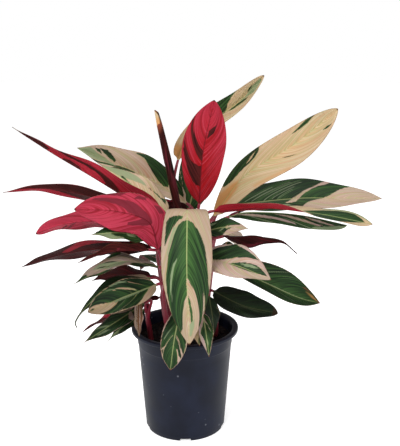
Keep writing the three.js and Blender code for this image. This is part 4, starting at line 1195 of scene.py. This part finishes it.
def blade_skins(leaf, s, v):
    """The points of a blade's upper and lower skin, s of the way along it and v of the way to its edges, with
    its half widths and its length."""
    place, ways, length = curve_through(leaf["midrib"], s)
    up = carried(leaf["face"], len(s) // 2, ways)
    turn = np.radians(leaf["twist"]) * (s - 0.5)
    up = up * np.cos(turn)[:, None] + np.cross(ways, up) * np.sin(turn)[:, None]
    side = np.cross(ways, up)
    half = np.maximum(leaf["width"] / 2 * outline(s, leaf), leaf["tip"])
    out, rise = folded(leaf, v)
    phase = TURN * leaf["waves"] * s[:, None] + np.where(v > 0, RIPPLE_SHIFT, 0)
    ripple = leaf["wave"] * v ** 2 * np.sin(phase) * np.minimum(1, half / RIPPLE_FULL)[:, None]
    upper = place[:, None] + side[:, None] * out[:, None] * half[:, None, None]
    upper = upper + up[:, None] * (rise * half[:, None] + ripple)[..., None]

    # The midrib is a groove above and a round ridge below, which thins towards the tip.
    ridge = np.exp(-(v * half[:, None] / RIB_REACH) ** 2) * (1 - RIB_THINS * s)[:, None]
    edge = np.clip((1 - np.abs(v)) * half[:, None] / THIN_EDGE, EDGE_SHARE, 1)
    lower = upper - up[:, None] * (BLADE_THICKNESS * edge + RIB_DEPTH * ridge)[..., None]
    upper = upper - up[:, None] * (RIB_GROOVE * ridge)[..., None]

    # At its foot the blade closes round into the petiole's end.
    angle = math.pi * (v + 1) / 2
    ring = place[0] - side[0] * (COLLAR * np.cos(angle))[:, None]
    lift = up[0] * (COLLAR * np.sin(angle))[:, None]
    drop = place[:, None] - place[0]
    join = np.clip(s / OPENS_OVER, 0, 1)[:, None, None]
    upper = upper * join + (ring + lift + drop) * (1 - join)
    lower = lower * join + (ring - lift + drop) * (1 - join)
    return upper, lower, half, length


def blade_faces(rows, columns):
    """The faces of a blade's two skins and of the rim between them, and the skin that each face shows."""
    count = rows * columns
    cells = [i * columns + k for i in range(rows - 1) for k in range(columns - 1)]
    upper = [(a, a + 1, a + columns + 1, a + columns) for a in cells]
    lower = [(count + a, count + a + columns, count + a + columns + 1, count + a + 1) for a in cells]
    left = [i * columns for i in range(rows)]
    tip = [(rows - 1) * columns + k for k in range(1, columns)]
    right = [i * columns + columns - 1 for i in range(rows - 2, -1, -1)]
    foot = list(range(columns - 2, 0, -1))
    loop = left + tip + right + foot
    rim = [(a, b, count + b, count + a) for a, b in zip(loop, loop[1:] + loop[:1])]
    return upper + lower + rim, [0] * len(upper) + [1] * len(lower) + [0] * len(rim)


def make_blade(name, row):
    """A blade with its pattern."""
    leaf = {**PLAIN_LEAF, **row}
    draws = random.Random(name)
    straight_length = np.linalg.norm(np.diff(np.array(leaf["midrib"], float), axis=0), axis=1).sum()
    if leaf["patches"]:
        rows, columns = LONG_MESH if straight_length > LONG_BLADE else SHORT_MESH
    else:
        rows, columns = PLAIN_MESH
    s = np.linspace(0, 1, rows)
    v = np.linspace(-1, 1, columns)
    v = np.sign(v) * np.abs(v) ** CROWDING
    upper, lower, half, length = blade_skins(leaf, s, v)
    points = np.concatenate([upper.reshape(-1, 3), lower.reshape(-1, 3)]) * MM
    faces, skins = blade_faces(rows, columns)
    materials = [leaf_under, leaf_upper] if leaf["turned"] else [leaf_upper, leaf_under]
    piece = mesh_object(name, points, faces, materials)
    piece.data.polygons.foreach_set("material_index", skins)
    for key, values in leaf_numbers(leaf, s, v, half, length, draws).items():
        one_skin = values.reshape(-1, 3)
        store(piece, key, np.concatenate([one_skin, one_skin]))
    return piece


for leaf_name, leaf_row in LEAVES.items():
    dress(make_blade("blade" + leaf_name[4:], leaf_row), "leaf", leaf_name)

# ---------- shoots, in millimetres ----------

SPOKE = (0.3, 0.9, 0.2)  # a direction that no rod runs along, to start its rings from
ROD_NUMBERS = 37  # the rods' own numbers are smaller than this
CANE_MESH = (28, 16)  # rings along a cane and points round it
CANE_TOP = (0.85, 0.55)  # radii of its last two rings, as shares of the cane's there
PETIOLE_MESH = (26, 12)
PETIOLE_STEPS = 80  # steps that its curve is drawn in
PETIOLE_REACH = 0.42  # how far it heads on in its direction at both ends, as a share of the way between them
PETIOLE_SHARES = [0, 0.12, 0.5, 0.86, 0.92, 1]
PETIOLE_RADII = [3.6, 3.1, 2.3, 2.1, 2.35, 2.0]  # it swells again just under the blade
PETIOLE_COLOUR_FROM = 60.0  # its skin starts as a cane's does this far up


def tube(line, radii, sides, faces, points, place, start_from=0.0):
    """Adds a closed round rod to lists of points, faces and places. A place is how far up the rod and how far
    round it a point lies, and the rod's own number."""
    centre, ways, length = line
    spoke = carried(SPOKE, 0, ways)
    other = np.cross(ways, spoke)
    first = len(points)
    for i, (c, r) in enumerate(zip(centre, radii)):
        for k in range(sides):
            angle = TURN * k / sides
            points.append((c + (spoke[i] * math.cos(angle) + other[i] * math.sin(angle)) * r) * MM)
            place.append((start_from + length * i / (len(centre) - 1), r * angle, first % ROD_NUMBERS))
    for i in range(len(centre) - 1):
        for k in range(sides):
            a = first + i * sides + k
            b = first + i * sides + (k + 1) % sides
            faces.append((a, b, b + sides, a + sides))
    last = first + (len(centre) - 1) * sides
    faces.append(tuple(first + k for k in range(sides - 1, -1, -1)))
    faces.append(tuple(last + k for k in range(sides)))


def petiole_line(stem, fork, blade_line, shares):
    """From the stem along its line, and into the blade along its midrib."""
    root, stem_way, _ = curve_through(stem, [fork])
    start, blade_way, _ = curve_through(blade_line, [0.0])
    end = start[0] - blade_way[0] * GAP
    reach = PETIOLE_REACH * np.linalg.norm(end - root[0])
    a, b, c, d = root[0], root[0] + stem_way[0] * reach, end - blade_way[0] * reach, end
    t = np.linspace(0, 1, PETIOLE_STEPS + 1)[:, None]
    dense = a * (1 - t) ** 3 + 3 * b * t * (1 - t) ** 2 + 3 * c * t ** 2 * (1 - t) + d * t ** 3
    return along(dense, shares)


def make_shoot(name, shoot):
    """A cane with the petioles of its leaves."""
    points, faces, place = [], [], []
    rings, sides = CANE_MESH
    shares = np.linspace(0, 1, rings)
    radii = np.interp(shares, [0, 1], shoot["radius"])
    radii[-2:] *= CANE_TOP
    tube(curve_through(shoot["line"], shares), radii, sides, faces, points, place)
    blades = [(row["fork"], row["midrib"]) for row in LEAVES.values() if row["shoot"] == name]
    if SPIKE["shoot"] == name:
        blades.append((SPIKE["fork"], SPIKE["line"]))
    rings, sides = PETIOLE_MESH
    shares = np.linspace(0, 1, rings)
    radii = np.interp(shares, PETIOLE_SHARES, PETIOLE_RADII)
    for fork, blade_line in blades:
        line = petiole_line(shoot["line"], fork, blade_line, shares)
        tube(line, radii, sides, faces, points, place, PETIOLE_COLOUR_FROM)
    piece = mesh_object("canes" + name[5:], points, faces, [petiole_skin])
    store(piece, "place", place)
    return piece


for shoot_name, shoot_row in SHOOTS.items():
    dress(make_shoot(shoot_name, shoot_row), "stem", shoot_name)

# ---------- the rolled new leaf, in millimetres ----------

ROLL_MESH = (90, 32)  # rings along it and points round it
ROLL_LIT_SIDE = 0.4  # where round the roll the side that faces the key light is, in turns; the far side gets painted shade
ROLL_WIND = 0.9  # turns that the free edge makes on its way up
ROLL_EDGE = 0.2  # where round the roll the free edge starts, in turns
ROLL_STEP = 0.16  # height of the step at the free edge, as a share of the radius
ROLL_CUT = 0.9  # where the slanting cut at the top begins, as a share of the length
ROLL_SLANT = 3.2  # how far the very top stands up on the light side and down on the other
ROLL_LEAN = 4  # how much lower the cut begins on the light side, and higher on the other
PALE_LINE = (0.2, 0.1)  # how far past the free edge a pale line runs, and half its width, in turns


def roll_numbers(turns, radius, tip, lean):
    """The field and the mood of a point of the roll, which lies so many turns past the free edge and tip
    above the cut. lean runs from 1 on the side that faces the key light to -1 on the side away from it. The
    roll is cream from just under the cut, tanned along it and dry at the top, and painted shade darkens it a
    little below the cut and, above it, on the side away from the light. A pale line winds up it beside the
    free edge."""
    middle, half_width = PALE_LINE
    pale_in = 1.4 * radius * (half_width - abs(turns - middle)) - 0.3
    green_in = -DEEP if tip > -6 else DEEP  # cream from 6 mm under the cut
    dry_in = tip - 9 - 9 * lean  # dry from the cut up on the dark side, from 18 mm above it on the light one
    tan_in = 7 - 0.7 * abs(tip)  # tanned as far as 10 mm from the cut
    # Painted shade: a little all over below the cut, and above it more and more on the side away from the key
    # light.
    dark = 0.35 if tip < 0 else min(0.9, max(0.0, 1.2 * (0.55 - lean)))
    return (green_in, pale_in, dry_in), (0.2, dark, tan_in)


def make_spike():
    """The new leaf: its free edge winds up the roll as a low step, and its top is cut off slanting."""
    rings, sides = ROLL_MESH
    share = np.linspace(0, 1, rings)
    line = curve_through(SPIKE["line"], share)
    centre, ways, length = line
    radii = np.interp(share, np.linspace(0, 1, len(SPIKE["radii"])), SPIKE["radii"])
    points, faces, place = [], [], []
    tube(line, radii, sides, faces, points, place)
    # How far each point round the roll faces the key light, from 1 to -1; the painted shade, the slant and
    # the cut follow it.
    leans = [math.cos(TURN * (k / sides - ROLL_LIT_SIDE)) for k in range(sides)]
    field, mood, tips = [], [], []
    for i in range(rings):
        above = ways[i] * ROLL_SLANT * max(0, (share[i] - ROLL_CUT) / (1 - ROLL_CUT))
        for k in range(sides):
            turns = (k / sides + ROLL_WIND * share[i] + ROLL_EDGE) % 1.0
            spoke = points[i * sides + k] / MM - centre[i]
            points[i * sides + k] = (centre[i] + spoke * (1.0 - ROLL_STEP * turns) + above * leans[k]) * MM
            tips.append((share[i] - ROLL_CUT) * length + ROLL_LEAN * leans[k])
            numbers = roll_numbers(turns, radii[i], tips[-1], leans[k])
            field.append(numbers[0])
            mood.append(numbers[1])
    piece = mesh_object("rolled_new_leaf", points, faces, [leaf_under, leaf_upper])
    # Above the cut the roll shows its upper skin, below it the underside.
    piece.data.polygons.foreach_set("material_index", [int(tips[face[0]] > 0) for face in faces])
    store(piece, "place", [(around, up, seed) for up, around, seed in place])
    store(piece, "field", field)
    store(piece, "mood", mood)
    store(piece, "veins", [(-5, 0, 0)] * len(place))
    return piece


dress(make_spike(), "new_leaf", "leaf_rolled_spike")

# ---------- pot and soil, in millimetres ----------

BASE_RADIUS = 62
NECK_RADIUS = 74.5  # outside of the wall right under the lip
NECK_HEIGHT = 158
POT_HEIGHT = 164
LIP_RADIUS = 82.5
LIP_ROUND = 1.3  # radius of the lip's edges
LIP_UNDER = 0.4  # how far the lip's underside rises outwards
BAND_HEIGHT = 138  # where the wall steps out a little
BAND_STEP = 0.7
WALL = 1.6
POT_FLOOR = 2.5  # thickness of its bottom
POT_SIDES = 144
NOTCHES = 5  # drain notches round the foot
NOTCH_WIDTH = 19
NOTCH_DEPTH = 12  # from the wall's outside inwards
NOTCH_HEIGHT = 4
NOTCH_TAPER = 0.8  # how narrow a notch is at its top, as a share of its width
CREASE = 40  # degrees from which an edge of the pot shades as a sharp one


def wall_radius(z):
    """Outside radius of the pot's wall at a height, below the band."""
    return BASE_RADIUS + (NECK_RADIUS - BAND_STEP - BASE_RADIUS) * z / NECK_HEIGHT


def round_points(radius, z, sides):
    """A ring of points about the pot's axis, in metres."""
    angles = [TURN * k / sides for k in range(sides)]
    return [(radius * math.cos(a) * MM, radius * math.sin(a) * MM, z * MM) for a in angles]


def ring_faces(rings, sides):
    """The faces between rings of points, one after the other."""
    faces = []
    for i in range(rings - 1):
        for k in range(sides):
            a, b = i * sides + k, i * sides + (k + 1) % sides
            faces.append((a, b, b + sides, a + sides))
    return faces


def lip_edge(z, start, end, count):
    """A rounded edge of the lip, from one angle to another."""
    radius = LIP_RADIUS - LIP_ROUND
    angles = np.linspace(start, end, count)
    return [(radius + LIP_ROUND * math.sin(a), z + LIP_ROUND * math.cos(a)) for a in angles]


def pot_profile():
    """From the foot's underside up the outside, over the lip and down the inside to the floor."""
    band = wall_radius(BAND_HEIGHT)
    foot = [(59.5, 0), (60.8, 0.15), (61.7, 0.7), (wall_radius(1.8), 1.8)]
    wall = [(wall_radius(z), z) for z in np.linspace(8, BAND_HEIGHT - 0.6, 12)]
    step = [(band + out, BAND_HEIGHT + up) for out, up in ((0.25, 0.1), (0.6, 0.6), (0.75, 1.4))]
    neck = [(74.1, 152), (74.4, 157.2), (75.2, 158.2), (77, 158.4)]
    under = lip_edge(NECK_HEIGHT + LIP_UNDER + LIP_ROUND, math.pi, math.pi / 2, 6)
    top = lip_edge(POT_HEIGHT - LIP_ROUND, math.pi / 2, 0, 7)
    mouth = [(79, POT_HEIGHT), (76.2, 163.8), (74.4, 163.2), (73.2, 161.8), (72.4, 156)]
    inside = [(wall_radius(z) - WALL, z) for z in np.linspace(BAND_HEIGHT - 1, 6, 8)]
    bottom = [(wall_radius(3) - WALL - 1.2, 3.2), (wall_radius(3) - 6, POT_FLOOR)]
    return foot + wall + step + neck + under + top + mouth + inside + bottom


def notch_cutter():
    """A ring of blocks that are cut out of the foot, each a little narrower at its top."""
    blocks = bmesh.new()
    for i in range(NOTCHES):
        angle = -math.pi / 2 + TURN * i / NOTCHES
        block = bmesh.ops.create_cube(blocks, size=1.0)
        for vertex in block["verts"]:
            x, y, z = vertex.co
            out = BASE_RADIUS + 2 * NOTCH_DEPTH * x
            across = NOTCH_WIDTH * y * (NOTCH_TAPER if z > 0 else 1.0)
            vertex.co = ((out * math.cos(angle) - across * math.sin(angle)) * MM,
                         (out * math.sin(angle) + across * math.cos(angle)) * MM,
                         math.copysign(NOTCH_HEIGHT, z) * MM)
    mesh = bpy.data.meshes.new("notch_cutter")
    blocks.to_mesh(mesh)
    blocks.free()
    cutter = bpy.data.objects.new("notch_cutter", mesh)
    bpy.context.scene.collection.objects.link(cutter)
    return cutter


def make_pot():
    """The pot, with its notches cut."""
    profile = pot_profile()
    points = [point for radius, z in profile for point in round_points(radius, z, POT_SIDES)]
    faces = ring_faces(len(profile), POT_SIDES)
    last = (len(profile) - 1) * POT_SIDES
    faces.append(tuple(range(POT_SIDES - 1, -1, -1)))
    faces.append(tuple(range(last, last + POT_SIDES)))
    pot = mesh_object("nursery_pot", points, faces, [pot_plastic])
    cutter = notch_cutter()
    cut = pot.modifiers.new("notches", "BOOLEAN")
    cut.object = cutter
    cut.operation = "DIFFERENCE"
    cut.solver = "EXACT"
    finished = bpy.data.meshes.new_from_object(pot.evaluated_get(bpy.context.evaluated_depsgraph_get()))
    pot.modifiers.clear()
    pot.data = finished
    bpy.data.objects.remove(cutter)
    pot.data.set_sharp_from_angle(angle=math.radians(CREASE))
    return pot


dress(make_pot(), "pot", "pot")

SOIL_SURFACE = 146
SOIL_ROUGHNESS = 2
SOIL_MESH = (34, 96)  # rings from the wall to the middle and points round each
SOIL_GRAIN = 0.7  # how far a point of the surface lies off, up or down
SOIL_SEED = 11
CRUMBS = 420
CRUMB_SIZES = (1.0, 2.6)
CRUMB_REACH = 0.965  # how far towards the wall crumbs lie, as a share of the surface's radius
CRUMB_FLAT = 0.7  # height against width
CRUMB_UP = 0.2  # how far the middle of a crumb stands above the soil, as a share of its size
CRUMB_CORNERS = [(1, 0, 0), (-1, 0, 0), (0, 1, 0), (0, -1, 0), (0, 0, 1), (0, 0, -1)]
CRUMB_FACES = [(0, 2, 4), (2, 1, 4), (1, 3, 4), (3, 0, 4), (2, 0, 5), (1, 2, 5), (3, 1, 5), (0, 3, 5)]


def soil_height(x, y, edge):
    """Unevenness of the soil's top: a few crossing waves that fade out at the wall."""
    wave = math.sin(x / 7 + 1.3) * math.cos(y / 9) + 0.6 * math.sin((x - y) / 5)
    return SOIL_SURFACE + SOIL_ROUGHNESS * wave * edge


def crumb(top, draws):
    """A crumb of bark or peat that lies on the soil, half sunk in it: a block with six uneven corners."""
    r = top * math.sqrt(draws.random()) * CRUMB_REACH
    angle = draws.uniform(0, TURN)
    x, y = r * math.cos(angle), r * math.sin(angle)
    size = draws.uniform(*CRUMB_SIZES)
    z = soil_height(x, y, 1 - (r / top) ** 2) + size * CRUMB_UP
    spin = draws.uniform(0, TURN)
    points = []
    for cx, cy, cz in CRUMB_CORNERS:
        wobble = draws.uniform(0.6, 1.15) * size
        across = cx * math.cos(spin) - cy * math.sin(spin)
        back = cx * math.sin(spin) + cy * math.cos(spin)
        corner = (x + across * wobble, y + back * wobble, z + cz * wobble * CRUMB_FLAT)
        points.append(tuple(c * MM for c in corner))
    return points


def make_soil():
    """The soil, with crumbs on it."""
    draws = random.Random(SOIL_SEED)
    rings, sides = SOIL_MESH
    top = wall_radius(SOIL_SURFACE) - WALL - GAP
    points = round_points(wall_radius(POT_FLOOR) - WALL - GAP, POT_FLOOR + GAP, sides)
    points += round_points(wall_radius(BAND_HEIGHT) - WALL - GAP, BAND_HEIGHT, sides)
    for i in range(rings):
        r = top * (1 - i / rings)
        for k in range(sides):
            angle = TURN * k / sides
            x, y = r * math.cos(angle), r * math.sin(angle)
            grain = draws.uniform(-SOIL_GRAIN, SOIL_GRAIN) if i else 0
            points.append((x * MM, y * MM, (soil_height(x, y, 1 - (r / top) ** 2) + grain) * MM))
    points.append((0, 0, soil_height(0, 0, 1) * MM))
    faces = ring_faces(rings + 2, sides)
    last = (rings + 1) * sides
    faces += [(last + k, last + (k + 1) % sides, len(points) - 1) for k in range(sides)]
    faces.append(tuple(range(sides - 1, -1, -1)))
    for _ in range(CRUMBS):
        first = len(points)
        points += crumb(top, draws)
        faces += [(first + a, first + b, first + c) for a, b, c in CRUMB_FACES]
    return mesh_object("potting_mix", points, faces, [peat_mix], smooth=False)


dress(make_soil(), "soil", "soil")
